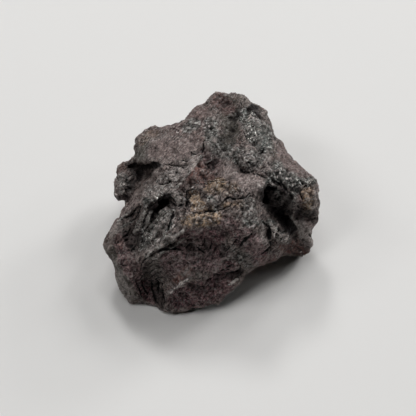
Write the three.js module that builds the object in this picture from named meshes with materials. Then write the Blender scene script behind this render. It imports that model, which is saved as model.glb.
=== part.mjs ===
// A meteorite: one natural stone about 72 mm across that lies on its flattened underside.
// Millimetres, +Z up. The broken front face looks towards -Y.
import * as THREE from "three";
import { ImprovedNoise } from "three/addons/math/ImprovedNoise.js";

// The surface is a net of points about this far apart, seen square to the line of sight, and with
// no edge longer than this where it runs off along that line.
const pitch = 1.32;
const hiddenPitch = 2;
const longestEdge = 3.4;
// The stone turns over this far in from its rim.
const edgeRound = 4.5;
// Shares of the way that each point moves to the mean of its neighbours: along the surface to even
// out the net, then once in full to take off its marks.
const evening = 0.5;
const eveningPasses = 4;
const easing = 0.3;

// The stone is surveyed from one station in front of it and above it.
const sightAngle = THREE.MathUtils.degToRad(55);
const sightLength = 300;
const middle = new THREE.Vector3(0, 0, 16);
const onward = new THREE.Vector3(0, Math.cos(sightAngle), -Math.sin(sightAngle));
const upward = new THREE.Vector3(0, Math.sin(sightAngle), Math.cos(sightAngle));
const station = middle.clone().addScaledVector(onward, -sightLength);

// Marks on the rim and on the visible side are [across, up, height]: how far right of the middle
// and above it the mark is seen, and how high it lies over the table.
const rim = {
  // The far tip, where the top slopes away.
  backTip: [
    [2.1, 39.1, 27], [4, 38.8, 26.5], [5.9, 38.4, 26.3], [8.6, 37.9, 26.3], [10.6, 38.3, 26.8],
    [12.4, 37.3, 27], [13.9, 35.6, 27],
  ],
  // Stepped edge right of the tip.
  backRight: [
    [16.2, 34.8, 26.5], [17.3, 34.2, 26.5], [18.6, 33, 26.5], [19.5, 31.8, 26.5], [19.8, 30.5, 26.5],
    [20.8, 29.5, 26.5], [21.1, 28.1, 26.5], [21.6, 26.1, 26.5], [22.1, 23.8, 26.5], [23.9, 23.1, 26.5],
  ],
  // Long straight fracture down to the right corner.
  rightShoulder: [
    [24.9, 21.8, 26.5], [26.4, 19.1, 26.3], [27.9, 17.3, 26], [29.7, 15, 25.5], [32, 13, 25],
    [33.7, 11.2, 24.3], [35.3, 9.4, 23.7], [36.3, 7.9, 23],
  ],
  // End of the right-hand block.
  rightCorner: [
    [37, 6.4, 22], [36.9, 4, 20.5], [37.6, 2, 19], [37, 0, 17.5], [36.4, -1.5, 16], [36.8, -3.5, 15],
    [36.6, -4.9, 14], [36, -5.9, 13.5],
  ],
  // The foot that stands on the table on the right.
  rightFoot: [
    [34.5, -7.3, 12.5], [34.5, -9.2, 11.5], [34.9, -11.5, 9], [34.7, -13.7, 6], [33.7, -15.1, 3.8],
    [31.7, -16.2, 2], [30.5, -16.6, 1.2], [28.7, -16.4, 2], [27.1, -16.6, 3.5],
  ],
  // Raised edge between the right foot and the belly.
  overhang: [
    [25.1, -16.5, 5], [22.8, -17.3, 6.7], [20.5, -18.2, 7.8], [18.2, -19.1, 8.8], [15.8, -20.2, 9.2],
    [14.5, -20.8, 9], [13.4, -21.9, 8.5], [12, -24.1, 7.7], [10.2, -26.5, 7], [9.1, -27.7, 6.3],
    [7.3, -29, 5], [5.3, -30.7, 4],
  ],
  // Where the belly meets the table.
  frontFoot: [
    [3.3, -32.2, 2.8], [1.3, -32.7, 2.5], [-1.6, -33, 2.5], [-4.3, -33.5, 2], [-6.9, -34.4, 1.5],
    [-9.2, -35, 1], [-11.5, -35.3, 0.5], [-12.9, -34.8, 0.5], [-14.2, -34.3, 0.5], [-15.8, -34, 0.5],
    [-17.3, -32.8, 0.5],
  ],
  // Where the left cheek meets the table.
  cheekFoot: [
    [-19.1, -32.4, 0.3], [-22.1, -32.2, 0.3], [-24.7, -32.1, 0.3], [-26.4, -31.8, 0.5],
    [-27.2, -30.5, 1.5], [-28, -29, 2.5],
  ],
  // Outer edge of the left cheek.
  leftCheek: [
    [-29.4, -26.9, 4], [-30.5, -24.9, 5.8], [-31, -23.6, 7], [-30.8, -21.8, 8], [-30.5, -20.3, 9],
    [-31.7, -18.5, 10], [-32.8, -16.8, 11], [-34.2, -15.3, 12], [-34.9, -13.9, 12.5],
    [-35.2, -12.3, 13],
  ],
  // Outer edge of the tongue.
  leftTongue: [
    [-34.5, -10.2, 13.5], [-34, -8.6, 14], [-32.7, -6.3, 14.7], [-31.2, -4.1, 15.3], [-29.7, -2, 16],
    [-28.7, 0, 16.3],
  ],
  // The dark knob and the notches on both sides of it.
  knobEdge: [
    [-27.6, 1.2, 15.5], [-27.8, 2, 12.5], [-28.7, 2.1, 11], [-29.7, 1.9, 10], [-30.4, 2.5, 10],
    [-31.5, 4, 10.5], [-31.8, 5.1, 11], [-31.1, 6.1, 11.5], [-31.3, 7.4, 12], [-30.6, 9.2, 12.7],
    [-30.4, 10.9, 13.2], [-30.4, 12.4, 14], [-29, 13.5, 15], [-27.6, 15, 16], [-26.4, 15.6, 16.5],
    [-25.7, 16.7, 17], [-24.7, 17.4, 18],
  ],
  // Left end of the smooth slab.
  slabSide: [
    [-24.4, 18, 21], [-24.8, 19.5, 21.5], [-24.6, 21.5, 22], [-24.3, 23.1, 22.5], [-23.1, 24.2, 23],
    [-21.4, 25.2, 23.5], [-19.8, 26.2, 24],
  ],
  // Back edge of the smooth slab.
  slabBack: [
    [-18.5, 27.1, 24.3], [-16.8, 27.5, 24.5], [-15, 27.4, 24.7], [-13.7, 28, 25], [-12.2, 28.4, 25.3],
    [-10.4, 28.5, 25.6], [-8.9, 29, 25.8], [-7.8, 30.2, 26], [-5.9, 31.4, 26], [-4.6, 32.8, 26.3],
    [-3.1, 34.2, 26.6], [-1.6, 34.4, 26.6], [-1.2, 35.6, 26.8], [-0.2, 36.8, 27], [0.8, 38.1, 27],
  ],
};

const relief = {
  // Smooth slab on the upper left. Its outer margin slopes off to the rim.
  slabEdge: [
    [-23.4, 16.8, 24.5], [-22.6, 19.1, 26], [-21.1, 21.3, 27], [-18.8, 23.3, 28], [-15.8, 24.8, 28.6],
    [-12.2, 25.9, 29.2], [-8.6, 27.1, 29.7], [-5.6, 29.2, 30], [-3, 31.8, 30], [-0.7, 34, 29.6],
  ],
  slabHollow: [
    [-19.8, 18.5, 26.7], [-15.8, 19.5, 28.1], [-11.9, 20, 29.3], [-7.9, 20.5, 30.3], [-4.6, 22.1, 30.8],
  ],
  slabTop: [[-7.3, 24.8, 30.8], [-3.6, 26.7, 31], [-0.7, 29.4, 30.6]],
  slabCrest: [
    [-0.3, 23.4, 32], [-1.3, 20.8, 32.4], [-2.3, 18.2, 32.7], [-3.3, 15.5, 32.8], [-4.9, 12.5, 32.4],
    [-6.6, 10.1, 31.9], [-8.6, 7.8, 31.3], [-10.7, 5.8, 30.8], [-12.9, 4.1, 30.2], [-15.7, 2.7, 29],
    [-18.5, 1.7, 27.6], [-20.8, 0.8, 26],
  ],
  crestFoot: [
    [0.3, 20.1, 29.8], [-0.5, 17.2, 29.5], [-1.5, 14.7, 29], [-2.8, 12.4, 28.3], [-4.6, 10.2, 27.5],
    [-6.4, 8.3, 27.1], [-7.9, 6.4, 26.8],
  ],
  // Overhanging lip of the slab, and the gap that runs down below it.
  lip: [
    [-23.3, 15.3, 24.4], [-21.8, 14.9, 25.6], [-19.5, 15.2, 27], [-17.2, 15.1, 28.2], [-15.3, 14.9, 29],
  ],
  underLip: [[-22.6, 13.5, 19.5], [-20.8, 13.5, 20.5], [-18.8, 13.6, 22.5], [-17, 13.7, 25]],
  gap: [
    [-19.1, 12, 20.8], [-21, 11.1, 18.3], [-22.9, 9.2, 15.8], [-24.4, 7.1, 13.6], [-25.6, 4.8, 12.6],
    [-26.1, 3, 12.8],
  ],
  // Rounded tongue that runs from the slab to the left corner.
  tongueEdge: [
    [-14.8, 13.2, 29.6], [-17.2, 11.6, 27.8], [-19.1, 9.8, 26.2], [-21.1, 7.9, 24.6],
    [-23.1, 5.6, 22.6], [-24.9, 3.2, 20.5], [-26.7, 0.8, 18.6], [-28.7, -2, 17.4],
  ],
  tongueCrest: [
    [-9.2, 12.2, 31.6], [-12.5, 9.9, 31.1], [-15.8, 7.3, 30], [-19.1, 4.8, 28.4], [-22.3, 2.3, 26],
    [-25.1, -0.7, 23.5], [-27.7, -3.6, 21], [-30.4, -6.9, 18.7], [-32.2, -9.9, 16.9],
    [-33.2, -12.5, 15.2],
  ],
  tongueLow: [[-23.1, -0.5, 22.3], [-25.4, -3.6, 19.8], [-27.7, -6.8, 17.6]],
  // Lumpy knob left of the gap.
  knobTop: [
    [-25.2, 15.7, 19.5], [-26.6, 14, 20.8], [-27.9, 12, 20.6], [-28.5, 9.7, 19.8], [-28.7, 7.3, 18.3],
    [-28.7, 5.1, 15.8],
  ],
  knobSide: [
    [-24.3, 15.2, 18.5], [-24.4, 12.9, 17], [-25.4, 10.2, 16], [-26.2, 7.6, 14.8], [-26.9, 5.3, 13],
  ],
  knobUnder: [[-28.7, 3.6, 12], [-29.9, 3.2, 10.8]],
  // Shallow bowl at the far tip, and the trough that leads down from it.
  bowl: [[3.6, 36.5, 25.9], [5.6, 35.8, 25.3], [7.1, 34.5, 24.9], [5.3, 33.7, 25.1]],
  bowlLip: [
    [1.7, 36.5, 28], [1.8, 34.3, 28.8], [3.5, 32.3, 29.2], [5.9, 31.5, 28.7], [8.3, 31.8, 28.3],
    [9.4, 34, 28.2], [9.2, 36.1, 27.8],
  ],
  trough: [
    [8.9, 30.4, 27.3], [8.7, 27.7, 27.6], [7.8, 24.8, 27.8], [6.4, 21.9, 28], [4.8, 19.1, 28.3],
    [2.6, 16.5, 28.5], [0.5, 14.2, 28.3],
  ],
  bumps: [[2, 30.4, 30.2], [2.6, 28.1, 31.2], [2.3, 25.4, 31.4], [3, 22.8, 32], [1.8, 20.1, 31.6]],
  // Crest right of the trough, with a pitted ledge and a worn plateau behind it.
  crest: [
    [10.9, 37, 28.5], [11.2, 34.3, 30.5], [11.6, 31.7, 31.6], [11.7, 28.9, 32.5], [11.4, 26.1, 33.2],
    [10.6, 23.1, 33.9], [9.2, 20.1, 34.1], [7.6, 17.2, 33.7], [5.8, 14.5, 33.5],
  ],
  ledgeTop: [[13.7, 34.5, 29.8], [15.5, 34.6, 29.5], [17.5, 33.5, 29.2], [18.8, 31.4, 29.3], [19, 29, 30]],
  ledgePit: [[13.4, 32.7, 28.4], [15, 33.3, 27.6], [16.7, 32.7, 27.6], [17.5, 31, 28.2]],
  nub: [[12.7, 31, 32], [14.2, 31.4, 32.3], [15.5, 30.4, 32.5], [16.7, 28.9, 32.3]],
  plateau: [
    [15.5, 26.1, 33.2], [17.8, 23.4, 33.6], [19.8, 20.5, 33.5], [21.8, 17.7, 33], [24.1, 14.9, 32.4],
    [26.1, 12.4, 31.5],
  ],
  plateauFace: [
    [20.5, 25.4, 30.1], [22.1, 21.8, 30.2], [24.8, 18.5, 29.6], [27.4, 15.2, 28.9], [30, 12.5, 28],
    [32.3, 10.1, 26.8],
  ],
  // Round boss, the highest point of the stone.
  bossTop: [[13.5, 15.8, 38.2], [12.5, 15.8, 37.9]],
  bossShoulder: [
    [11.1, 15.8, 36.9], [11.9, 17.5, 37], [13.5, 18.2, 37], [15.2, 17.7, 36.8], [16.1, 16, 36.6],
    [15.3, 14.3, 36.6], [13.7, 13.5, 36.6], [12, 14, 36.7], [11.1, 15.8, 36.9],
  ],
  bossFoot: [
    [9.4, 15.7, 33.2], [10.1, 13.5, 33.2], [11.7, 11.9, 33.6], [14, 11.8, 34], [16, 12.9, 34],
    [17.5, 15, 33.6], [18, 17.5, 33.4], [16, 19.5, 33.8], [12.9, 19.9, 33.8], [10.4, 18.3, 33.2],
  ],
  // Smooth band below the boss, up to the lip of the deep cavity.
  band: [[4.6, 11.6, 32.6], [8.3, 11.1, 34.2], [11.9, 9.9, 35.5], [15.8, 9.4, 36], [19.1, 9.1, 35.6]],
  bandLow: [[2.6, 9.4, 31.5], [6.3, 7.9, 33.2], [10.2, 6.4, 34.8], [13.9, 5.6, 35.2]],
  cavityLip: [
    [15.7, 3.1, 33.8], [16.7, 5, 35], [17.7, 6.8, 35.3], [19.5, 7.6, 34.9], [21.5, 7.7, 34.2],
    [23.4, 7.2, 33.2], [24.9, 6.4, 32],
  ],
  // Deep cavity and the groove that drains it to the right foot.
  cavityTop: [[19, 5.4, 28], [21, 6.1, 27], [22.9, 5.6, 27]],
  cavityFloor: [
    [18.5, 2.6, 26.5], [20.3, 1.8, 23], [22.1, 0.2, 20.5], [23.9, -1.6, 18.5], [25.6, -3.8, 17],
    [27.1, -5.9, 15.5], [28.2, -7.9, 14.3], [29.2, -9.7, 13],
  ],
  cavityRight: [
    [25.4, 4.6, 28.5], [25.7, 2.1, 26.3], [26.9, -0.2, 23.5], [28.4, -2.3, 20.8], [29.5, -4.1, 18.3],
  ],
  // Right-hand block: crusted top, blunt face, undercut base.
  crystals: [
    [21, 11.4, 34.7], [23.8, 10.9, 33.9], [26.7, 10.4, 32.7], [29.7, 9.4, 31.3], [32.7, 8.1, 29.8],
  ],
  blockEdge: [[26.2, 6.8, 31.6], [28.7, 6.9, 31.1], [31.4, 6.8, 30], [34, 6.3, 28.2], [35.6, 5.1, 26]],
  blockFace: [[27.1, 3.1, 28.2], [29.7, 2.8, 28.2], [32.3, 2.8, 27.2], [34.7, 1.7, 24.6]],
  blockFoot: [[28.4, -0.2, 24.2], [31, -0.8, 23.6], [33.7, -1, 22], [35.5, -1.8, 18.8]],
  blockUnder: [[30, -2.8, 17.8], [32.3, -3.1, 17], [34.7, -3.6, 15.2]],
  // Slab and foot under the block.
  lowerLip: [[31, -4.9, 17.9], [33, -4.9, 17.3], [34.8, -5.1, 16.1]],
  lowerSlab: [[30.2, -7.9, 14.2], [32.2, -8.2, 13.6]],
  footTop: [[25.4, -12, 13], [27.7, -11.7, 11.8], [30.2, -11.9, 10.4], [32.7, -12.5, 8]],
  footFace: [[26.7, -14.4, 7.8], [29.4, -14.7, 5.5], [31.7, -14.4, 4.5]],
  // Strip between the groove and the long notch.
  stripTop: [
    [18, -0.5, 30.4], [19.6, -2.1, 28.3], [21.6, -4.1, 25.3], [23.6, -6.3, 22.2], [25.4, -8.4, 19],
    [27.1, -10.6, 14.8],
  ],
  stripBase: [[21.1, -6.1, 24.6], [22.1, -8.4, 21], [23.4, -10.7, 17]],
  notch: [
    [18.6, -3.8, 27.4], [19.8, -5.9, 25.4], [20.4, -8.4, 22.7], [20.9, -11.1, 19.7], [20.3, -13.4, 17],
    [18.6, -15.2, 15.2],
  ],
  // Ridge between the top and the front face, and the scoop below it.
  ridge: [
    [-22.8, -17.5, 19.5], [-21, -16, 20.8], [-19, -14.2, 22.4], [-16.7, -12.7, 24],
    [-14.2, -11.4, 25.4], [-11.9, -9.7, 26.7], [-9.9, -8.2, 27.8], [-7.6, -7.1, 28.6],
    [-4.3, -6.4, 29.2], [-1, -6.1, 29.6], [2.3, -5.6, 30], [5.9, -5.8, 30.3], [9.6, -6.3, 30.5],
    [13.2, -6.6, 30.5], [16.5, -6.3, 29.8], [18.2, -5.1, 29.2],
  ],
  underRidge: [
    [-11.9, -11.7, 22.8], [-8.2, -10.7, 23.4], [-4.6, -10.2, 23.8], [-1, -10.4, 23.4],
    [2.3, -10.6, 23.4], [5, -9.6, 24.9],
  ],
  scoop: [[-5.9, -13, 20], [-3, -13.9, 18.8], [-0.3, -14.2, 18.2], [2, -13.9, 19]],
  scoopLip: [
    [-17.5, -15.5, 21.6], [-14.2, -15.8, 21], [-10.6, -16.3, 20.3], [-6.6, -17.2, 19.4],
    [-2.6, -18.2, 18.4], [1.3, -18, 18.4], [4.6, -16.3, 20.2],
  ],
  // Right half of the front face.
  frontBlock: [[9.2, -9.9, 27.6], [12.9, -10.2, 27.6], [16.2, -10.6, 27], [18.8, -10.6, 25.2]],
  frontBlockFoot: [[5.9, -15.8, 21], [9.2, -15.2, 22], [12.9, -15.3, 21.6], [15.8, -15.8, 19.8]],
  lowerFront: [
    [2.6, -20.8, 16.2], [5.9, -20.1, 17.2], [9.6, -19.1, 17.8], [13.2, -18.3, 16.8], [16.5, -18, 14.5],
  ],
  lowerCrease: [[2, -25.1, 9.7], [5.3, -23.6, 11.1], [8.6, -21.9, 12.3], [11.6, -20.6, 12]],
  lowerEdge: [[4.6, -28.4, 8], [7.3, -26.1, 10], [9.6, -23.9, 11], [11.6, -22.4, 11]],
  // Broken middle of the top, with its grainy patch.
  midSlab: [[7.6, 1.5, 32.6], [10.6, 1.9, 33.5], [13.5, 2.5, 33.9]],
  midSlabLow: [[7.6, -2, 31.6], [11.2, -1.8, 32.5], [14.9, -1.6, 32.6]],
  crackTop: [[5.3, 4, 32.8], [7.9, 3.9, 34], [10.9, 3.9, 35], [13.5, 4.5, 35.4]],
  nose: [[-9.1, 5, 29.8], [-9.4, 3, 29.4], [-10.9, 1, 28.2], [-13, -1, 27.4]],
  noseRight: [[-6.9, 4.8, 27.5], [-7.1, 2.3, 27], [-8.2, -0.2, 26.7]],
  ochre: [[-4.3, 5, 30.2], [-1.3, 6.6, 31.2], [1.7, 7.3, 32], [4.3, 5.8, 32.8]],
  ochreMiddle: [[-4.6, 2.3, 30.3], [-1.6, 2.3, 31.2], [1.3, 2.3, 31.9], [4.3, 1, 32]],
  ochreLow: [[-5.9, -1.8, 29.2], [-3, -3, 30], [0.7, -3, 30.6], [4.3, -2.8, 31.2]],
  // Black hollow under the slab's crest, and the ribs that fan out below it.
  hollow: [[-12.9, 2.4, 24.2], [-14.5, 1.2, 21], [-16.3, 0, 19.8], [-18.3, -1, 19.8]],
  hollowFoot: [[-11.9, -1.8, 26.8], [-13.9, -1.5, 25], [-15.8, -2.1, 24], [-17.8, -3, 23]],
  ribLeft: [[-19.5, -0.2, 25.4], [-20.6, -2.6, 24.4], [-21.9, -5.4, 22.8], [-23.3, -8.2, 20.8]],
  ribMiddle: [[-17.2, -5.1, 24.7], [-18.3, -7.8, 23.9], [-19.3, -10.6, 22.7]],
  ribRight: [[-12.4, -4.1, 27.7], [-13.9, -6.9, 27.1], [-15.7, -9.6, 25.9]],
  grooveLeft: [[-18.5, -2.1, 21], [-19.6, -4.8, 20], [-21, -7.6, 19], [-22.1, -10.4, 17.8]],
  grooveRight: [[-15.2, -4.6, 22.7], [-16.3, -7.3, 22.5], [-17.5, -9.9, 21.9]],
  // Pits near the left corner.
  pit: [
    [-24.7, -6.3, 18.1], [-26.2, -8.4, 15.9], [-26.6, -10.9, 13.9], [-25.2, -13.4, 13.9],
    [-23.4, -13.9, 15.3],
  ],
  pitEdge: [[-29.7, -9.9, 16], [-28.7, -12.5, 15.4], [-27.1, -15, 16.4], [-24.7, -16.3, 18]],
  // Left cheek, and the big hollow between it and the belly.
  cheekTop: [[-31.7, -14.8, 13.2], [-29.4, -16.8, 14.6], [-26.6, -18.2, 16.4], [-23.9, -19, 16.8]],
  cheek: [[-29, -20.8, 12.8], [-26.2, -21.9, 13.6], [-23.9, -21.9, 13.5]],
  cheekLow: [[-28.9, -24.4, 9], [-26.4, -25.4, 9.9], [-23.9, -25.4, 10.4]],
  cheekFoot: [[-26.4, -29.4, 4.3], [-24.3, -29.9, 4.2], [-22.8, -29.5, 4.6]],
  cheekSide: [[-21.8, -20.5, 12.7], [-21.6, -23.6, 8.7], [-21.1, -26.7, 5.3], [-20, -29.7, 2.3]],
  frontHollow: [
    [-19.3, -18.2, 15.6], [-18.3, -21.3, 10.6], [-17.3, -24.4, 6.4], [-16.2, -27.6, 3],
    [-14.8, -30.7, 1],
  ],
  hollowTop: [[-15.2, -18.6, 16.3], [-13.5, -21.6, 12.7], [-12.5, -24.4, 9.9]],
  // Belly of the front face.
  glint: [[-13.4, -29, 7], [-11.4, -27.2, 9.8], [-9.2, -25.6, 12.2], [-6.6, -23.9, 14.2]],
  belly: [[-9.9, -19.8, 16.7], [-6.4, -20.6, 16.5], [-3, -21.4, 15.7]],
  bellyLow: [[-10.6, -32, 3.6], [-6.6, -30.5, 5.8], [-2.6, -29.7, 6.8], [1, -29.4, 7]],
};

// Marks on the hidden side are [x, y, z]. Those below the table make the flat underside.
const hidden = {
  base: [
    [-25, -25, -1.5], [-14, -27.5, -1.5], [-3, -21, -1.5], [8, -12, -1.5], [20, -4, -1.5],
    [30, -6.5, -1.5], [31, 1, -1.5], [25, 10, -1.5], [17, 21, -1.5], [8, 29, -1.5], [1, 29, -1.5],
    [-7, 20, -1.5], [-16, 17, -1.5], [-23, 10, -1.5], [-26, -1, -1.5], [-28, -13, -1.5],
    [-25, -25, -1.5],
  ],
  baseMiddle: [
    [-14, -14, -1], [0, -5, -1], [14, 3, -1], [8, 16, -1], [-8, 10, -1], [-16, 0, -1], [-14, -14, -1],
  ],
  overhang: [[4, -24.5, 3], [11, -18, 5], [18, -13.5, 5.5], [25, -10, 3.5]],
  wallRight: [[35, 2, 14], [32.5, 9, 15], [25, 19, 15.5], [19, 28, 16], [12.5, 36, 16], [6, 39.5, 15.5]],
  wallRightFoot: [[32, 3, 3], [26.5, 11, 3], [19, 21.5, 3.5], [12, 29.5, 3.5], [5, 33, 3.5]],
  wallRightEdge: [[21.5, 27, 24], [21, 26, 16], [18.5, 23.5, 9]],
  wallLeft: [
    [2, 39, 16], [-3.5, 33, 17], [-8.5, 27.5, 14.5], [-15, 25.5, 15], [-21, 22.5, 15.5],
    [-25, 17.5, 13],
  ],
  wallLeftFoot: [[1, 32, 4], [-6.5, 23.5, 4], [-15, 20.5, 3.5], [-22, 15, 3.5]],
  wallLeftEdge: [[-4, 33.5, 22], [-4, 32.5, 12], [-3, 29.5, 6]],
  side: [[-27.5, 9, 6], [-28.5, 2, 8], [-31, -7, 8], [-32, -14, 7.5]],
  sideFoot: [[-26.5, 6, 2.5], [-28, -5, 2.5], [-29.5, -14, 2.5]],
};

// Patches where the ground is lumpy: [across, up, radius, height of the lumps].
const lumpy = {
  knob: [-28.4, 8.6, 7, 1],
  troughBank: [1.7, 24.8, 4.6, 0.7],
  backLedge: [15.5, 31.7, 4, 0.8],
  plateau: [17.8, 24.1, 5.3, 0.6],
  crust: [27.1, 9.2, 8.6, 0.9],
  blockFace: [31, 0.7, 6.5, 0.9],
  grainyPatch: [-1, 1, 8, 0.5],
  ribs: [-19, -5.6, 9, 0.8],
  pits: [-25.7, -11.5, 5, 0.8],
  frontHollow: [-17.5, -25.4, 6.6, 0.8],
  scoop: [-1, -14, 9, 0.6],
  lowerFront: [5.6, -22, 7, 0.6],
  strip: [23, -8, 5, 0.5],
};

// Broken flats of each size, and how far they stand in and out on the visible and hidden sides.
const flats = [
  { size: 11, visible: 0.5, unseen: 2.8 },
  { size: 6, visible: 1.5, unseen: 1.6 },
  { size: 3.6, visible: 0.9, unseen: 0.9 },
];
const flatTilt = 1.2;
const flatRise = 0.5;
const flatSharpness = 22;
const grain = { size: 3, height: 0.25 };
const lumpSize = 3.2;
const creaseDepth = 0.4;
const lumpyFade = 0.6;
const rimShare = 0.35;

// How close net points may come to the rim and to each other, as shares of their spacing.
const rimGap = 0.62;
const lineGap = 0.45;
const fillGap = 0.7;
const reach = 50;

// The membrane settles in this many passes, each overshooting by this factor.
const stretchPasses = 400;
const overshoot = 1.6;

function sightline(across, up) {
  const way = onward.clone().multiplyScalar(sightLength);
  return way.addScaledVector(upward, up).add(new THREE.Vector3(across, 0, 0));
}

function fromHeight([across, up, height]) {
  return { across, up, depth: (height - station.z) / sightline(across, up).z };
}

function fromPlace([x, y, z]) {
  const way = new THREE.Vector3(x, y, z).sub(station);
  const depth = way.dot(onward) / sightLength;
  return { across: way.x / depth, up: way.dot(upward) / depth, depth };
}

function placeOf({ across, up, depth }) {
  return station.clone().addScaledVector(sightline(across, up), depth);
}

const gap = (p, q) => Math.hypot(q.across - p.across, q.up - p.up);
const gapToAny = (p, others) => others.reduce((least, q) => Math.min(least, gap(p, q)), Infinity);

function between(p, q, share) {
  const mix = (name) => p[name] + (q[name] - p[name]) * share;
  return { across: mix("across"), up: mix("up"), depth: mix("depth") };
}

// Points about one spacing apart along a line through marks.
function stepAlong(marks, spacing, closed = false) {
  const points = [];
  const ends = closed ? marks.length : marks.length - 1;
  for (let i = 0; i < ends; i++) {
    const next = marks[(i + 1) % marks.length];
    const steps = Math.max(1, Math.round(gap(marks[i], next) / spacing));
    for (let k = 0; k < steps; k++) points.push(between(marks[i], next, k / steps));
  }
  if (!closed) points.push(marks[marks.length - 1]);
  return points;
}

function isInside(p, outline) {
  let inside = false;
  outline.forEach((q, i) => {
    const r = outline[(i + 1) % outline.length];
    if (q.up > p.up === r.up > p.up) return;
    const crossing = q.across + ((r.across - q.across) * (p.up - q.up)) / (r.up - q.up);
    if (p.across < crossing) inside = !inside;
  });
  return inside;
}

function circleThrough(points, i, j, k) {
  const [p, q, r] = [points[i], points[j], points[k]];
  const spread = 2 * (p.across * (q.up - r.up) + q.across * (r.up - p.up) + r.across * (p.up - q.up));
  const [pp, qq, rr] = [p, q, r].map((s) => s.across ** 2 + s.up ** 2);
  const across = (pp * (q.up - r.up) + qq * (r.up - p.up) + rr * (p.up - q.up)) / spread;
  const up = (pp * (r.across - q.across) + qq * (p.across - r.across) + rr * (q.across - p.across)) / spread;
  const centre = { across, up };
  return { corners: [i, j, k], centre, radius: gap(centre, p) };
}

// Delaunay triangles, made by putting the points in one at a time.
function triangulate(points) {
  const far = 1e4;
  const count = points.length;
  const frame = [{ across: -far, up: -far }, { across: far, up: -far }, { across: 0, up: far }];
  const all = [...points, ...frame];
  let triangles = [circleThrough(all, count, count + 1, count + 2)];
  for (let added = 0; added < count; added++) {
    const edges = new Map();
    const kept = [];
    for (const triangle of triangles) {
      if (gap(triangle.centre, all[added]) >= triangle.radius) kept.push(triangle);
      else dropEdges(edges, triangle.corners);
    }
    for (const [i, j] of edges.values()) kept.push(circleThrough(all, i, j, added));
    triangles = kept;
  }
  return triangles.map((triangle) => triangle.corners).filter((corners) => Math.max(...corners) < count);
}

// Notes a removed triangle's edges. An edge met from both sides goes, the others bound the hole.
function dropEdges(edges, [i, j, k]) {
  for (const [from, to] of [[i, j], [j, k], [k, i]]) {
    if (!edges.delete(`${to} ${from}`)) edges.set(`${from} ${to}`, [from, to]);
  }
}

function keepApart(candidates, outline, spacing) {
  const kept = [];
  for (const p of candidates) {
    if (!isInside(p, outline) || gapToAny(p, outline) < rimGap * spacing) continue;
    if (gapToAny(p, kept) > lineGap * spacing) kept.push(p);
  }
  return kept;
}

// Points in staggered rows on the ground between the surveyed lines.
function fillBetween(outline, surveyed, spacing) {
  const points = [];
  const rows = Math.ceil(reach / spacing);
  for (let row = -rows; row <= rows; row++) {
    for (let column = -rows; column <= rows; column++) {
      const stagger = row % 2 ? 0.5 : 0;
      const shake = 1e-4 * Math.sin(row * 7 + column);
      const p = { across: (column + stagger) * spacing + shake, up: row * spacing * Math.sqrt(0.75) };
      if (!isInside(p, outline) || gapToAny(p, outline) < fillGap * spacing) continue;
      if (gapToAny(p, surveyed) > fillGap * spacing) points.push(p);
    }
  }
  return points;
}

function neighboursOf(count, triangles) {
  const near = Array.from({ length: count }, () => new Set());
  for (const [i, j, k] of triangles) {
    near[i].add(j).add(k);
    near[j].add(k).add(i);
    near[k].add(i).add(j);
  }
  return near.map((set) => [...set]);
}

// How far a point stands in front of a flat sheet, so that the sheet rolls over at the rim.
function roundOver(p, outline) {
  const inset = Math.min(1, gapToAny(p, outline) / edgeRound);
  return (edgeRound * Math.sqrt(1 - (1 - inset) ** 2)) / sightLength;
}

// Stretches the fill points like a membrane over the surveyed ones.
function stretch(points, known, near, rise) {
  const flat = points.map((p, i) => (i < known ? p.depth - rise[i] : 1));
  for (let pass = 0; pass < stretchPasses; pass++) {
    for (let i = known; i < points.length; i++) {
      const mean = near[i].reduce((sum, j) => sum + flat[j], 0) / near[i].length;
      flat[i] += overshoot * (mean - flat[i]);
    }
  }
  for (let i = known; i < points.length; i++) points[i].depth = flat[i] + rise[i];
}

// One side of the stone inside the rim. side is -1 towards the station and 1 away from it.
function surveySheet(outline, lines, side, spacing) {
  const stations = lines.flatMap((line) => stepAlong(line, spacing));
  const surveyed = keepApart(stations, outline, spacing);
  const points = [...outline, ...surveyed, ...fillBetween(outline, surveyed, spacing)];
  const midpoint = (corners) => ({
    across: corners.reduce((sum, i) => sum + points[i].across, 0) / 3,
    up: corners.reduce((sum, i) => sum + points[i].up, 0) / 3,
  });
  const triangles = triangulate(points).filter((corners) => isInside(midpoint(corners), outline));
  const near = neighboursOf(points.length, triangles);
  const rise = points.map((p, i) => (i < outline.length ? 0 : side * roundOver(p, outline)));
  stretch(points, outline.length + surveyed.length, near, rise);
  return { points, triangles };
}

// Joins the two sheets along the rim that they share.
function joinSheets(outline, front, back) {
  const shared = outline.length;
  const renumber = (i) => (i < shared ? i : i - shared + front.points.length);
  const points = [...front.points, ...back.points.slice(shared)];
  const turned = back.triangles.map(([i, j, k]) => [i, k, j].map(renumber));
  const nodes = points.map((p, i) => ({
    place: placeOf(p),
    atRim: i < shared,
    visible: i < front.points.length,
  }));
  return { nodes, triangles: [...front.triangles, ...turned] };
}

const edgeName = (i, j) => `${Math.min(i, j)} ${Math.max(i, j)}`;

function halfway(p, q) {
  const place = p.place.clone().lerp(q.place, 0.5);
  return { place, atRim: p.atRim && q.atRim, visible: p.visible && q.visible };
}

// Cuts a triangle at the middles that its edges were given.
function cutAtMiddles([i, j, k], middles) {
  const turns = [[i, j, k], [j, k, i], [k, i, j]];
  const cut = turns.find(([from, to]) => middles.has(edgeName(from, to)));
  if (!cut) return [[i, j, k]];
  const [from, to, tip] = cut;
  const middle = middles.get(edgeName(from, to));
  return [...cutAtMiddles([from, middle, tip], middles), ...cutAtMiddles([middle, to, tip], middles)];
}

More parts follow.
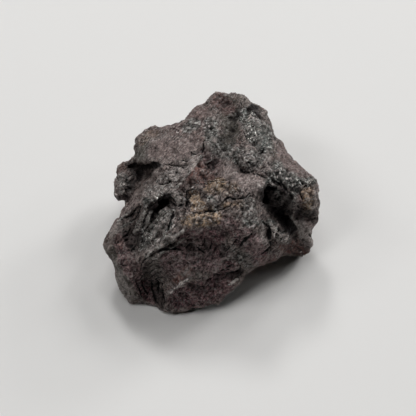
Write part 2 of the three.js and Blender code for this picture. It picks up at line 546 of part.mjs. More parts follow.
// Halves the longest edge of each triangle that is stretched along the line of sight, until no
// edge is longer than the limit.
function splitLongEdges({ nodes, triangles }, limit) {
  const all = [...nodes];
  const length = ([from, to]) => all[from].place.distanceTo(all[to].place);
  let left = triangles;
  for (;;) {
    const middles = new Map();
    for (const [i, j, k] of left) {
      const [longest] = [[i, j], [j, k], [k, i]].sort((a, b) => length(b) - length(a));
      const name = edgeName(...longest);
      if (length(longest) <= limit || middles.has(name)) continue;
      middles.set(name, all.push(halfway(all[longest[0]], all[longest[1]])) - 1);
    }
    if (!middles.size) return { nodes: all, triangles: left };
    left = left.flatMap((triangle) => cutAtMiddles(triangle, middles));
  }
}

function geometryOf({ nodes, triangles }) {
  const geometry = new THREE.BufferGeometry().setFromPoints(nodes.map((node) => node.place));
  geometry.setIndex(triangles.flat());
  geometry.computeVertexNormals();
  return geometry;
}

// Moves every node a share of the way to the mean of its neighbours: along the surface to even out
// the net, or in full to ease it.
function relax(mesh, near, share, alongSurface) {
  const normal = geometryOf(mesh).getAttribute("normal");
  const ways = mesh.nodes.map((node, i) => {
    const mean = new THREE.Vector3();
    for (const j of near[i]) mean.add(mesh.nodes[j].place);
    const way = mean.divideScalar(near[i].length).sub(node.place);
    return alongSurface ? way.projectOnPlane(new THREE.Vector3().fromBufferAttribute(normal, i)) : way;
  });
  mesh.nodes.forEach((node, i) => node.place.addScaledVector(ways[i], share));
}

// A scattered number from 0 to 1, always the same for the same cell and turn.
function chance(x, y, z, turn) {
  const wave = Math.sin(x * 127.1 + y * 311.7 + z * 74.7 + turn * 191.3) * 43758.5453;
  return wave - Math.floor(wave);
}

function siteOf(x, y, z, size) {
  const place = new THREE.Vector3(x + chance(x, y, z, 1), y + chance(x, y, z, 2), z + chance(x, y, z, 3));
  const tilt = new THREE.Vector3(chance(x, y, z, 4), chance(x, y, z, 5), chance(x, y, z, 6));
  return {
    place: place.multiplyScalar(size),
    tilt: tilt.subScalar(0.5).multiplyScalar(flatTilt / size),
    rise: flatRise * (chance(x, y, z, 7) - 0.5),
  };
}

// Height of a surface broken into tilted flats, one round each scattered site.
function brokenFlats(p, size) {
  const cell = p.clone().divideScalar(size).floor();
  let weights = 0;
  let sum = 0;
  for (let turn = 0; turn < 27; turn++) {
    const [i, j, k] = [turn % 3, Math.floor(turn / 3) % 3, Math.floor(turn / 9)];
    const site = siteOf(cell.x + i - 1, cell.y + j - 1, cell.z + k - 1, size);
    const away = p.clone().sub(site.place);
    const weight = Math.exp((-flatSharpness * away.lengthSq()) / size ** 2);
    weights += weight;
    sum += weight * (away.dot(site.tilt) + site.rise);
  }
  return sum / weights;
}

const noise = new ImprovedNoise();
const noiseAt = (p, size) => noise.noise(p.x / size, p.y / size, p.z / size);

// Rounded lumps with sharp creases between them, faded out round each lumpy patch.
function lumpsAt(p) {
  const mark = fromPlace(p);
  const lump = 2 * Math.abs(noiseAt(p, lumpSize)) - creaseDepth;
  let most = 0;
  for (const [across, up, radius, height] of Object.values(lumpy)) {
    const inset = 1 + lumpyFade / 2 - gap(mark, { across, up }) / radius;
    most = Math.max(most, height * THREE.MathUtils.smoothstep(inset, 0, lumpyFade));
  }
  return lump * most;
}

function roughness(p, visible) {
  let height = grain.height * noiseAt(p, grain.size);
  for (const flat of flats) height += (visible ? flat.visible : flat.unseen) * brokenFlats(p, flat.size);
  return visible ? height + lumpsAt(p) : height;
}

// Moves every node along its normal, and grinds off what would reach below the table.
function roughen(mesh) {
  const normal = geometryOf(mesh).getAttribute("normal");
  mesh.nodes.forEach(({ place, atRim, visible }, i) => {
    const outward = new THREE.Vector3().fromBufferAttribute(normal, i);
    place.addScaledVector(outward, (atRim ? rimShare : 1) * roughness(place, visible));
    place.z = Math.max(0, place.z);
  });
}

// Puts the middle of the stone's outline over the origin.
function centre(geometry) {
  geometry.computeBoundingBox();
  const middleOfBox = geometry.boundingBox.getCenter(new THREE.Vector3());
  geometry.translate(-middleOfBox.x, -middleOfBox.y, 0);
}

function stoneGeometry() {
  const outline = stepAlong(Object.values(rim).flat().map(fromHeight), pitch, true);
  const seenLines = Object.values(relief).map((line) => line.map(fromHeight));
  const hiddenLines = Object.values(hidden).map((line) => line.map(fromPlace));
  const front = surveySheet(outline, seenLines, -1, pitch);
  const back = surveySheet(outline, hiddenLines, 1, hiddenPitch);
  const mesh = splitLongEdges(joinSheets(outline, front, back), longestEdge);
  const near = neighboursOf(mesh.nodes.length, mesh.triangles);
  for (let pass = 0; pass < eveningPasses; pass++) relax(mesh, near, evening, true);
  relax(mesh, near, easing, false);
  roughen(mesh);
  const geometry = geometryOf(mesh);
  centre(geometry);
  return geometry;
}

const stone = new THREE.MeshStandardMaterial({ color: 0x4c4547, roughness: 0.55, metalness: 0.35 });
const meteorite = new THREE.Mesh(stoneGeometry(), stone);
meteorite.name = "meteorite";

const group = new THREE.Group();
group.add(meteorite);

export default group;
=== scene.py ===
import math
from functools import partial

import bpy
import numpy as np
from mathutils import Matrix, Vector, noise
from mathutils.bvhtree import BVHTree
from mathutils.kdtree import KDTree


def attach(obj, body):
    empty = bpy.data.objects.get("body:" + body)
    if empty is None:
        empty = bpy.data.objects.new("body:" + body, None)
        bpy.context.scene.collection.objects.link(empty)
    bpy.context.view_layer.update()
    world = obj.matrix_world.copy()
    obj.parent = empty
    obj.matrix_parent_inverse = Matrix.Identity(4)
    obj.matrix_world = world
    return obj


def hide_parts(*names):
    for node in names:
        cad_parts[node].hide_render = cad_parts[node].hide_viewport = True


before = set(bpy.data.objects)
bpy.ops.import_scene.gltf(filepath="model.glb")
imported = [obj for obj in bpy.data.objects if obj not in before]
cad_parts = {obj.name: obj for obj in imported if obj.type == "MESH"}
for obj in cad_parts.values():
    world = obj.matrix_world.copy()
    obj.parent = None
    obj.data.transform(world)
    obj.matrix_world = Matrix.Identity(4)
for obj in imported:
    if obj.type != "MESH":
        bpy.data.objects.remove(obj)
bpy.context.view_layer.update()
scene = bpy.context.scene
millimetre = 0.001
print("frame loaded")


# Marks on the stone are given as they are seen from here: mm to the right of the aim and mm above it.
sight = {
    "aim": (-1.214, -5.8, 16),
    "downTilt": 55,
    "distance": 300,
    "lens": 78.67,
    "sensor": 36,
    "grazing": 0.02,  # a face turned further away than this does not count as seen
    "clearance": 0.3,  # mm off the stone, from where it is tested whether the view is free
    "slack": 0.4,  # mm that a seen place may lie from where the line of sight meets the stone
}
tilt = math.radians(sight["downTilt"])
onward = np.array((0, math.cos(tilt), -math.sin(tilt)))
upward = np.array((0, math.sin(tilt), math.cos(tilt)))
rightward = np.array((1.0, 0, 0))
viewpoint = np.array(sight["aim"], float) - onward * sight["distance"]


def markOf(points):  # where each point is seen
    way = points - viewpoint
    depth = way @ onward / sight["distance"]
    return np.stack([way @ rightward / depth, way @ upward / depth], 1)


def lookAt(tree, mark):  # where the line of sight through a mark meets the stone
    way = onward * sight["distance"] + rightward * mark[0] + upward * mark[1]
    way = Vector(way).normalized()
    return tree.ray_cast(Vector(viewpoint), way)[0], way


def inSight(tree, place):
    hit = tree.ray_cast(Vector(viewpoint), (place - Vector(viewpoint)).normalized())[0]
    return hit is not None and (hit - place).length < sight["slack"]


def viewShare(points, normals, tree):  # 1 where the viewpoint sees the stone, 0 where it does not
    toView = viewpoint - points
    toView /= np.linalg.norm(toView, axis=1)[:, None]
    facing = (normals * toView).sum(1)
    share = np.zeros(len(points))
    for index in np.nonzero(facing > sight["grazing"])[0]:
        start = Vector(points[index] + normals[index] * sight["clearance"])
        if tree.ray_cast(start, Vector(toView[index]))[0] is None:
            share[index] = 1
    return share


def addCamera():
    data = bpy.data.cameras.new("camera")
    data.lens = sight["lens"]
    data.sensor_width = sight["sensor"]
    data.clip_start = 0.01
    camera = bpy.data.objects.new("camera", data)
    scene.collection.objects.link(camera)
    camera.location = Vector(viewpoint) * millimetre
    camera.rotation_euler = Vector(onward).to_track_quat("-Z", "Y").to_euler()
    scene.camera = camera


addCamera()


def selectOnly(piece):
    bpy.ops.object.select_all(action="DESELECT")
    piece.select_set(True)
    bpy.context.view_layer.objects.active = piece


def applyModifier(piece, kind, **settings):
    modifier = piece.modifiers.new(kind.lower(), kind)
    for name, value in settings.items():
        setattr(modifier, name, value)
    selectOnly(piece)
    bpy.ops.object.modifier_apply(modifier=modifier.name)


def readPoints(mesh):  # in mm
    flat = np.empty(len(mesh.vertices) * 3, np.float32)
    mesh.vertices.foreach_get("co", flat)
    return flat.reshape(-1, 3).astype(float) / millimetre


def writePoints(mesh, points):
    mesh.vertices.foreach_set("co", (points * millimetre).astype(np.float32).ravel())
    mesh.update()


def readNormals(mesh):
    flat = np.empty(len(mesh.vertices) * 3, np.float32)
    mesh.vertex_normals.foreach_get("vector", flat)
    return flat.reshape(-1, 3).astype(float)


def treeOf(points, mesh):
    faces = [tuple(face.vertices) for face in mesh.polygons]
    return BVHTree.FromPolygons([Vector(p) for p in points], faces)


def spread(mesh, values, passes):  # evens values out over neighbouring points
    ownShare = 0.4  # what a point keeps of its own value in each pass
    ends = np.empty(len(mesh.edges) * 2, np.int32)
    mesh.edges.foreach_get("vertices", ends)
    first, second = ends[0::2], ends[1::2]
    count = len(mesh.vertices)
    links = np.maximum(np.bincount(first, minlength=count) + np.bincount(second, minlength=count), 1)
    columns = values.reshape(count, -1).astype(float)
    for _ in range(passes):
        around = np.stack([
            np.bincount(first, column[second], count) + np.bincount(second, column[first], count)
            for column in columns.T
        ], 1)
        columns = ownShare * columns + (1 - ownShare) * around / links[:, None]
    return columns.reshape(values.shape)


def ease(low, high, values):  # 0 below low, 1 above high, smooth between them
    share = np.clip((values - low) / (high - low), 0, 1)
    return share * share * (3 - 2 * share)


def cloud(points, size, octaves=2, drift=0.0):  # smooth noise of that size in mm, about -1 to 1
    shift = Vector((drift, drift * 0.37, -drift * 0.61))
    values = [noise.fractal(Vector(p) / size + shift, 1.0, 2.0, octaves) for p in points]
    return np.array(values)


def awayFrom(marks, line):  # distance of each mark from a drawn line
    line = np.array(line, float)
    if len(line) == 1:
        line = np.repeat(line, 2, 0)
    nearest = np.full(len(marks), np.inf)
    for start, end in zip(line[:-1], line[1:]):
        run = end - start
        share = np.clip((marks - start) @ run / max(run @ run, 1e-9), 0, 1)
        gap = marks - start - share[:, None] * run
        nearest = np.minimum(nearest, np.hypot(gap[:, 0], gap[:, 1]))
    return nearest


def nearestPlace(points, places):  # how far it is from each point, and which it is
    tree = KDTree(len(places))
    for index, place in enumerate(places):
        tree.insert(place, index)
    tree.balance()
    found = [tree.find(Vector(p))[1:] for p in points]
    return np.array([gap for _, gap in found]), np.array([index for index, _ in found])


def copyOfNode(nodeName, pieceName):
    piece = bpy.data.objects.new(pieceName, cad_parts[nodeName].data.copy())
    scene.collection.objects.link(piece)
    piece.data.materials.clear()
    selectOnly(piece)
    bpy.ops.object.mode_set(mode="EDIT")
    bpy.ops.mesh.select_all(action="SELECT")
    bpy.ops.mesh.remove_doubles(threshold=1e-6)
    bpy.ops.object.mode_set(mode="OBJECT")
    return piece


stone = {
    "voxel": 0.54,  # mm between points
    "fineWidth": 0.5,  # mm of half width under which a crack gets a finer mesh
    "fineReach": 0.4,  # mm to each side of it
    "viewBlur": 3,  # passes that soften the border between the seen and the unseen sides
    "laid": {  # how cracks and pits are laid on the stone
        "step": 0.15,  # mm from place to place along a drawn line
        "waver": 0.12,  # mm by which it leaves the line
        "waverPace": 1.6,  # how quickly it does
        "taper": 0.3,  # share of its length over which each end narrows
        "swell": (1.1, 0.4, 1.1),  # mean and change of its width on the way, and the size of that in mm
        "thinnest": 0.5,
        "fewest": 4,  # up to this many places it is a pit, and does not narrow
        "pitWidth": (0.7, 1.1),  # a pit is this much of its radius
        "pitInk": 0.65,  # pits are not as black as cracks
    },
    "inkWidth": 0.75,  # share of a crack's half width that is black
    "inkFade": 0.8,  # mm over which the black fades
    # Cracks and pits on the sides that the viewpoint does not see, in mm.
    "hiddenCracks": {
        "count": 70,
        "length": (2, 11),
        "halfWidth": (0.16, 0.38),
        "depth": (0.3, 1.0),
        "step": 0.3,
        "turn": 0.35,  # how much it may turn at each step
    },
    "hiddenPits": {"count": 110, "radius": (0.3, 0.9), "depth": (0.25, 0.7)},
    # Borders of a finish.
    "fade": (0.7, 1.25),  # shares of its reach between which it fades out
    "rag": [(0.9, 3.5, 0), (0.5, 1.1, 5)],  # mm by which they wander, the size of that in mm, and its drift
    "fullRag": 2.5,  # mm of reach from which they wander that far
    # Finishes on the unseen sides: the noise runs from none to all of it between two levels, and has a size.
    "hiddenFinishes": {
        "mauve": (0.02, 0.3, 13),
        "silver": (0.08, 0.3, 9),
        "ochre": (0.34, 0.5, 8),
        "rust": (0.44, 0.62, 6),
        "olive": (0.14, 0.4, 11),
        "dark": (0.2, 0.5, 5),
        "wine": (0.12, 0.5, 12),
    },
    "rougher": {"silver": 0.7, "ochre": 0.6, "dark": 0.3, "wine": 0.3, "mauve": -0.45, "olive": -0.4},
    "roughness": (0.3, 2),  # least and most
    "flats": [(2.6, 0.25, 0.32), (1.2, 0.3, 0.36)],  # broken flats: size in mm, slope, share of their height
    "flatRise": 0.12,  # how far one stands over another, as a share of its size
    "flatFall": 0.25,  # how steeply it gives way to the next
    "bumps": (0.06, 0.9),  # height and size in mm
    "grooves": (0.4, 1.7),
    "hollows": (0.5, 3.2),
    "grainWay": (0.55, 0.8, 0.2),  # the grooves run this way
    "grainStretch": 0.72,  # and are drawn out by this
    "foot": (-0.2, 0.8),  # mm over the table between which the relief begins
    "finePasses": 3,  # passes that even the stone out, to find its small hollows and edges
    "broadPasses": 25,  # and its large ones
    # Mm between which the painted shade in a hollow, or a lighter edge (partly wear, partly painted
    # highlight), begins and is full, and how much it counts: small ones, large ones.
    "hollow": ((0.0, 0.2, 0.7), (0.0, 0.9, 0.35)),
    "edge": ((0.02, 0.22, 0.6), (0.1, 0.9, 0.6)),
}

# Cracks: half width and depth in mm, then the line.
cracks = {
    "slabCrest": (0.4, 0.9, [(-1, 22.4), (-1.7, 21.8), (-1.8, 20.5), (-1.7, 19.5), (-2, 18.2)]),
    "lipArc": (0.26, 0.5, [(-15.5, 14.5), (-13.5, 14.7), (-11.6, 14.5), (-9.6, 14.2), (-8.2, 13.4),
        (-7.3, 12.2)]),
    "tongueDashA": (0.5, 0.8, [(-16.2, 8.2), (-15.2, 8.2), (-14.2, 8.7), (-12.4, 8.9)]),
    "tongueDashB": (0.22, 0.4, [(-10.9, 12.2), (-9.7, 11.6)]),
    "tongueDashC": (0.2, 0.3, [(-10.6, 7.6), (-9.9, 8.1), (-9.2, 8.7)]),
    "rustLineA": (0.18, 0.35, [(-1.7, 8.6), (-0.3, 8.9), (1, 9.6), (2.6, 9.9), (4.6, 10.1)]),
    "rustLineB": (0.18, 0.35, [(-2.6, 8.2), (-0.7, 8.2), (0.7, 8.9), (2.3, 9.1), (5, 9.2)]),
    "jagged": (0.42, 1.0, [(4.6, 1.7), (5.3, 2.6), (6.3, 3.3), (7.3, 3.6), (8.2, 2.8), (9.2, 3)]),
    "jaggedRight": (0.24, 0.7, [(9.2, 3), (9.9, 3), (10.9, 3.1), (11.9, 3.5), (12.9, 4.3),
        (13.9, 5.1)]),
    "jaggedEnd": (0.2, 0.3, [(13.5, 4.1), (15.2, 4.1)]),
    "jaggedFoot": (0.25, 0.5, [(6.6, 0.3), (7.3, 0.8), (7.9, 1.7)]),
    "ochreLow": (0.26, 0.7, [(-6.6, -0.7), (-5.6, -1.3), (-4.6, -1.5), (-3.3, -1.3), (-1.7, -1.3),
        (-0.7, -0.8), (0.3, -0.7), (1.7, -0.7), (3, -0.5), (4.6, -0.5), (5.9, 0.3)]),
    "noseSideA": (0.24, 0.6, [(-7.9, 6.6), (-6.9, 5.3), (-7.4, 3.6), (-6.6, 2.3), (-7.4, 1),
        (-6.9, -0.3)]),
    "noseSideB": (0.2, 0.6, [(-6.6, 5.9), (-5.8, 4.3), (-6.4, 3), (-5.9, 0.7)]),
    "noseTop": (0.2, 0.4, [(-7.9, 5.1), (-6.3, 5.8), (-4.6, 6.4)]),
    "noseFoot": (0.4, 0.8, [(-12.9, 2.3), (-11.6, 1.3), (-9.9, 0.8), (-8.2, 1.2)]),
    "noseLeft": (0.25, 0.5, [(-12.9, 4), (-11.9, 3), (-10.9, 1.7)]),
    "strip": (0.6, 0.9, [(18.3, -4.3), (19.5, -5.3), (20.3, -6.9), (20.5, -8.9), (20.6, -10.6),
        (21.1, -11.9), (20.8, -13.2), (19.5, -14.4), (17.8, -15.5)]),
    "blockDash": (0.8, 0.9, [(14.5, -8.7), (13.5, -9.9), (12.2, -11.2), (11.2, -12.2), (10.6, -12.9)]),
    "patchA": (0.2, 0.5, [(5.3, -14.5), (6.6, -13.5), (7.6, -12.9)]),
    "patchB": (0.2, 0.4, [(7.6, -12.7), (8.6, -11.7), (9.6, -10.6)]),
    "frontLowA": (0.4, 0.8, [(3.3, -21.6), (4.6, -21.1), (6.3, -21), (7.6, -20.5)]),
    "frontLowB": (0.25, 0.6, [(5.9, -20.3), (7.3, -19.5), (8.6, -19)]),
    "frontLowC": (0.42, 0.7, [(4.6, -23.4), (6.6, -22.4), (8.6, -21.4), (10.6, -20.6), (10.9, -19.1)]),
    "bossArc": (0.24, 0.4, [(9.9, 14.2), (10.6, 12.9), (11.6, 11.9), (13.5, 11.7), (15.2, 12.4)]),
    "bossRight": (0.2, 0.4, [(15.8, 13.2), (16.5, 14.5), (17, 16.2)]),
    "bossTop": (0.22, 0.4, [(10.2, 16.5), (10.9, 17.8), (12.2, 18.8)]),
    "rightOfBoss": (0.22, 0.5, [(17.2, 17.8), (17.8, 18.3), (18.5, 19.1)]),
    "step": (0.25, 0.5, [(15.2, 11.4), (16.5, 11.1), (17.8, 10.7), (19.1, 10.6), (20.8, 10.4)]),
    "bossPit": (0.5, 0.6, [(13.2, 15.5), (13.9, 14.5)]),
    "peakPit": (0.28, 0.6, [(13.9, 32.7), (15.5, 31.8), (16.5, 31), (17.5, 29.7)]),
    "tongueCrackA": (0.28, 0.7, [(-28.7, -3.8), (-27.1, -3.3), (-25.7, -2.8), (-24.8, -2),
        (-23.8, -0.7)]),
    "tongueCrackB": (0.22, 0.5, [(-25.4, -4.6), (-24.1, -3.3), (-23.1, -1.7), (-22.4, 0.7)]),
    "underRidge": (0.3, 0.4, [(-16.5, -14.7), (-14.9, -14), (-12.9, -13.7), (-10.6, -13.5),
        (-8.2, -13.9)]),
    "hollowArc": (0.35, 0.7, [(-22.1, -20.5), (-21.8, -19.1), (-20.8, -17.5), (-19.5, -16.2),
        (-17.5, -14.9)]),
    "cheekPitA": (0.35, 0.6, [(-23.4, -24.4), (-22.8, -25.7), (-22.1, -27.4), (-21.8, -29.4)]),
    "cheekPitB": (0.3, 0.5, [(-21.8, -25.1), (-20.8, -26.7), (-19.8, -28.7)]),
    "cheekDash": (0.2, 0.4, [(-26.1, -27.4), (-25.6, -29)]),
    "cheekTop": (0.22, 0.4, [(-29, -18.5), (-27.7, -19.1), (-26.7, -18.8)]),
    "shellA": (0.42, 0.8, [(-18.5, -24.4), (-18.2, -26.7), (-17.5, -29.4), (-16.5, -31.7)]),
    "shellB": (0.4, 0.8, [(-16.8, -24.1), (-16.5, -26.1), (-16.5, -28.1)]),
    "shellC": (0.36, 0.7, [(-15.5, -25.1), (-15.2, -27.7), (-14.5, -30.4)]),
    "shellD": (0.25, 0.6, [(-14.2, -25.7), (-13.9, -28.4)]),
    "frontA": (0.26, 0.6, [(1, -10.9), (1.3, -12.5), (0.3, -14.2)]),
    "frontB": (0.22, 0.5, [(-1.3, -10.2), (-1, -11.6), (-1.7, -12.9)]),
    "frontC": (0.2, 0.5, [(-8.2, -11.2), (-6.3, -10.6), (-4.3, -10.9)]),
    "frontD": (0.2, 0.4, [(-4, -12.5), (-2.6, -13.9), (-0.7, -14.9)]),
    "shellArcA": (0.15, 0.3, [(-19.8, -19.1), (-18.5, -17.8), (-16.5, -17.2)]),
    "shellArcB": (0.17, 0.3, [(-20.1, -20.8), (-18.8, -19.1), (-16.8, -18.5), (-15.2, -18.8)]),
    "shellArcC": (0.15, 0.3, [(-19.5, -22.1), (-18.2, -20.5), (-16.2, -19.8)]),
    "shellArcD": (0.17, 0.3, [(-19.1, -23.4), (-17.5, -21.8), (-15.5, -21.1), (-13.9, -21.8)]),
    "shellArcE": (0.15, 0.3, [(-17.5, -23.8), (-15.8, -22.8), (-13.9, -23.4)]),
    "ridgeGap": (0.17, 0.4, [(-19.1, -16.5), (-16.8, -14.5), (-14.2, -13.2), (-11.2, -11.6),
        (-8.9, -9.6)]),
    "cavityTop": (0.36, 0.7, [(18.8, 6.4), (20.5, 6.6), (22.8, 6.4)]),
    "cavityLeft": (0.4, 0.7, [(18.8, 6.3), (19, 4.3), (19.1, 2.6), (18.2, 1)]),
    "blockPitA": (0.3, 0.6, [(21.4, -7.6), (22.4, -8.6), (23.8, -9.2)]),
    "blockPitB": (0.25, 0.5, [(22.1, -10.6), (22.8, -11.6)]),
    "leftA": (0.3, 0.6, [(-25.4, -6.9), (-26.4, -8.9), (-27.7, -9.9)]),
    "leftB": (0.3, 0.6, [(-23.4, -10.6), (-24.4, -12.5), (-25.7, -14.5)]),
    "leftC": (0.28, 0.5, [(-21.8, -9.9), (-22.8, -12.9), (-23.8, -15.2)]),
    "ribGapA": (0.34, 0.7, [(-19.1, -0.3), (-20.5, -3), (-21.8, -6.3)]),
    "ribGapB": (0.24, 0.5, [(-17.2, -5), (-18.5, -6.6), (-19.5, -8.6)]),
    "ribGapC": (0.34, 0.7, [(-14.2, -1.3), (-15.2, -3.6), (-16.5, -5.6)]),
    "ribGapD": (0.3, 0.6, [(-11.6, -1), (-11.9, -3.3), (-12.5, -5.6), (-13.5, -7.3)]),
    "slabRimA": (0.35, 0.6, [(-7.3, 30.2), (-5.9, 30.9), (-4.6, 31.4)]),
    "slabRimB": (0.3, 0.5, [(-0.7, 35.6), (0.3, 36.6), (1.3, 37.5)]),
    "scratchA": (0.16, 0.25, [(-5.9, 19.1), (-5.3, 18), (-4, 17.8), (-3, 18.8)]),
    "scratchB": (0.14, 0.2, [(-9.2, 15.8), (-7.9, 15.8), (-6.9, 15.5)]),
    "cornerA": (0.45, 0.9, [(24.1, 9.2), (24.8, 7.9), (25.7, 6.6), (26.4, 5)]),
    "cornerB": (0.45, 0.9, [(21.1, 10.1), (21.8, 8.9), (23.4, 8.1), (24.4, 6.9)]),
    "cornerC": (0.28, 0.6, [(30.4, 9.2), (31.7, 8.2), (33.3, 8.4)]),
    "cornerD": (0.25, 0.6, [(31.4, 0.7), (31.4, 3), (30.7, 5), (31.7, 6.3), (32.7, 7.3), (34.3, 7.4),
        (35.3, 6.6)]),
    "cornerE": (0.28, 0.6, [(27.1, 5), (27.7, 3.6), (27.4, 2.3)]),
    "cornerF": (0.3, 0.6, [(28.4, 0.7), (29.7, 0), (31.4, -0.7)]),
    "bowlSpot": (0.3, 0.5, [(2.8, 33.5), (3.6, 32.8)]),
    "bowlEdge": (0.25, 0.4, [(10.6, 35.3), (11.1, 33.7)]),
    "trenchA": (0.2, 0.4, [(11.6, 25.4), (12.5, 23.8), (12.9, 22.4)]),
    "slabL": (0.25, 0.4, [(33.3, -8.6), (34.3, -9.6)]),
    "footPit": (0.25, 0.4, [(29.4, -12.9), (30, -13.5)]),
}

# Pits: radius and depth in mm, then where they are.
pits = [
    (0.9, 0.7, [(-27.1, -7.9), (-26.7, -10.6), (-27.7, -9.6)]),
    (1.1, 0.9, [(-24.8, -13.5), (-24.1, -15.2), (-25.4, -12.5)]),
    (0.35, 0.4, [(14.5, 30.7), (15.2, 30.4), (14.2, 29.7), (7.6, 11.9), (3.3, -2), (1.7, -3.6),
        (5, 10.6)]),
    (0.3, 0.3, [(-15.8, 23.4), (-13.2, 23.4), (-8.6, 24.4), (-3, 23.1), (-4, 20.1), (-0.3, 31.7),
        (0.3, 28.7), (-5.6, 16.5)]),
    (0.5, 0.5, [(15.8, 34), (13.5, 32.7), (17.8, -7.9), (12.2, 8.2), (10.6, 5.9), (31, -5.9),
        (32.3, -7.9), (34, -9.2), (29.4, -3.6)]),
    (0.4, 0.4, [(9.2, 7.3), (11.6, 10.6), (6.9, 11.9), (17.8, 8.2), (-9.2, 8.6), (-13.2, 12.9)]),
    (0.6, 0.5, [(-30.4, 7.6), (-29.4, 9.6), (-25.7, 6.3), (-27.7, 13.2), (-29.7, 12.2), (-25.7, 11.2)]),
    (0.5, 0.4, [(-4.3, -17.8), (-1, -19.1), (1.7, -16.5), (-2.6, -12.5), (-6.6, -9.2), (4.6, -9.2),
        (12.5, -17.8), (14.5, -16.5)]),
]

# Lumps and fills too small for the solid: radius, and how far each stands over the surface, in mm, then
# where they are.
lumps = [
    (2.6, 3.2, [(-26.4, 8.6), (-28.4, 6.6)]),
    (3.0, 5.2, [(-25.4, 9.2), (-25.4, 6.9)]),
    (2.2, 1.3, [(-26.1, 11.2), (-27.7, 10.6)]),
    (3.2, 4.0, [(-5.6, 8.6), (-4, 9.6)]),
    (2.4, 2.6, [(-6.9, 7.3), (-2.6, 10.9)]),
    (2.2, 2.0, [(-2, 14.2)]),
    (2.2, 1.6, [(5.9, 36), (6.9, 35)]),
    (1.3, 0.7, [(7.9, 26.4), (7.3, 30)]),
    (2.6, 3.0, [(-0.3, 18.8), (0, 16.8)]),
    (2.0, 2.2, [(-1, 20.1), (-0.7, 15.5)]),
    (2.1, 2.4, [(-18.8, -2.3), (-16.8, -2)]),
    (1.9, 1.9, [(-19.8, -4.3), (-21.1, -6.6)]),
    (2.1, 1.4, [(-27.4, -7.6), (-26.1, -10.2)]),
    (1.7, 1.1, [(-25.4, -12.5), (-28.4, -9.9)]),
    (1.3, 1.1, [(26.4, 5), (29, 4.3), (27.1, 1), (30.4, 2.3)]),
    (1.0, 0.9, [(27.7, 3), (29.4, 0.3), (25.1, 3.3), (30.7, 5), (28.1, -1)]),
    (2.6, 4.6, [(21.8, 5), (22.4, 3)]),
    (2.2, 3.0, [(21.8, 0.7), (20.5, 2.6)]),
    (1.4, 2.2, [(22.1, -7.6), (23.4, -8.9), (24.8, -10.2)]),
    (0.9, 1.0, [(22.4, -10.6), (24.1, -7.6), (25.7, -9.2)]),
    (1.6, 1.9, [(20.1, -5.9), (20.8, -7.6), (20.8, -8.9)]),
    (1.8, 2.0, [(-7.9, 6.9), (-6.9, 5)]),
    (1.6, 1.6, [(-6.9, 2.6), (-7.9, 4.3)]),
    (1.8, 2.0, [(-20.1, -1.3), (-20.8, -3.6)]),
    (2.0, 3.4, [(-17.8, -2.6), (-18.8, -4.3)]),
    (2.0, 1.6, [(0.7, 14.9)]),
    (1.2, 0.8, [(11.6, 16.8), (15.2, 14.9), (12.5, 18.5)]),
    (1.6, 1.8, [(27.7, 1.3), (29, 3), (26.1, 4)]),
    (2.7, 2.3, [(-13.2, -2.3), (-13.9, -5)]),
    (1.4, 1.0, [(-17.8, 1.3), (-14.9, 1.7)]),
    (0.9, 0.5, [(21.1, 11.9), (23.4, 12.2), (25.4, 10.9), (22.8, 8.9), (27.1, 8.9), (29.4, 9.6)]),
    (1.0, 0.9, [(-7.3, -0.3), (-5.9, -2.6), (-3.6, -3.3), (-1.3, -2.3), (1, -3), (3, -1.7)]),
    (0.9, 0.7, [(-5.9, -4.6), (-4, -5.3), (-1.7, -4.3), (0.3, -4.6), (2, -3.6), (-4.3, 4), (-3, 1.7),
        (-5, 1.3)]),
    (0.8, 0.6, [(0, 6.9), (1.3, 8.6), (3.3, 7.3), (5, 8.2), (-1.3, 7.9), (5.9, 1), (7.6, 0.3)]),
    (0.9, 0.6, [(0, 4), (1, 2), (3, 1), (4.6, -2), (6.9, -2.6), (8.9, -1.3), (9.6, -4), (11.6, 0.7),
        (12.9, -1.7)]),
    (0.9, 0.7, [(-10.6, 0), (-9.2, -1.3), (-9.9, -3.3), (-11.6, -5), (-7.9, 1.3)]),
]

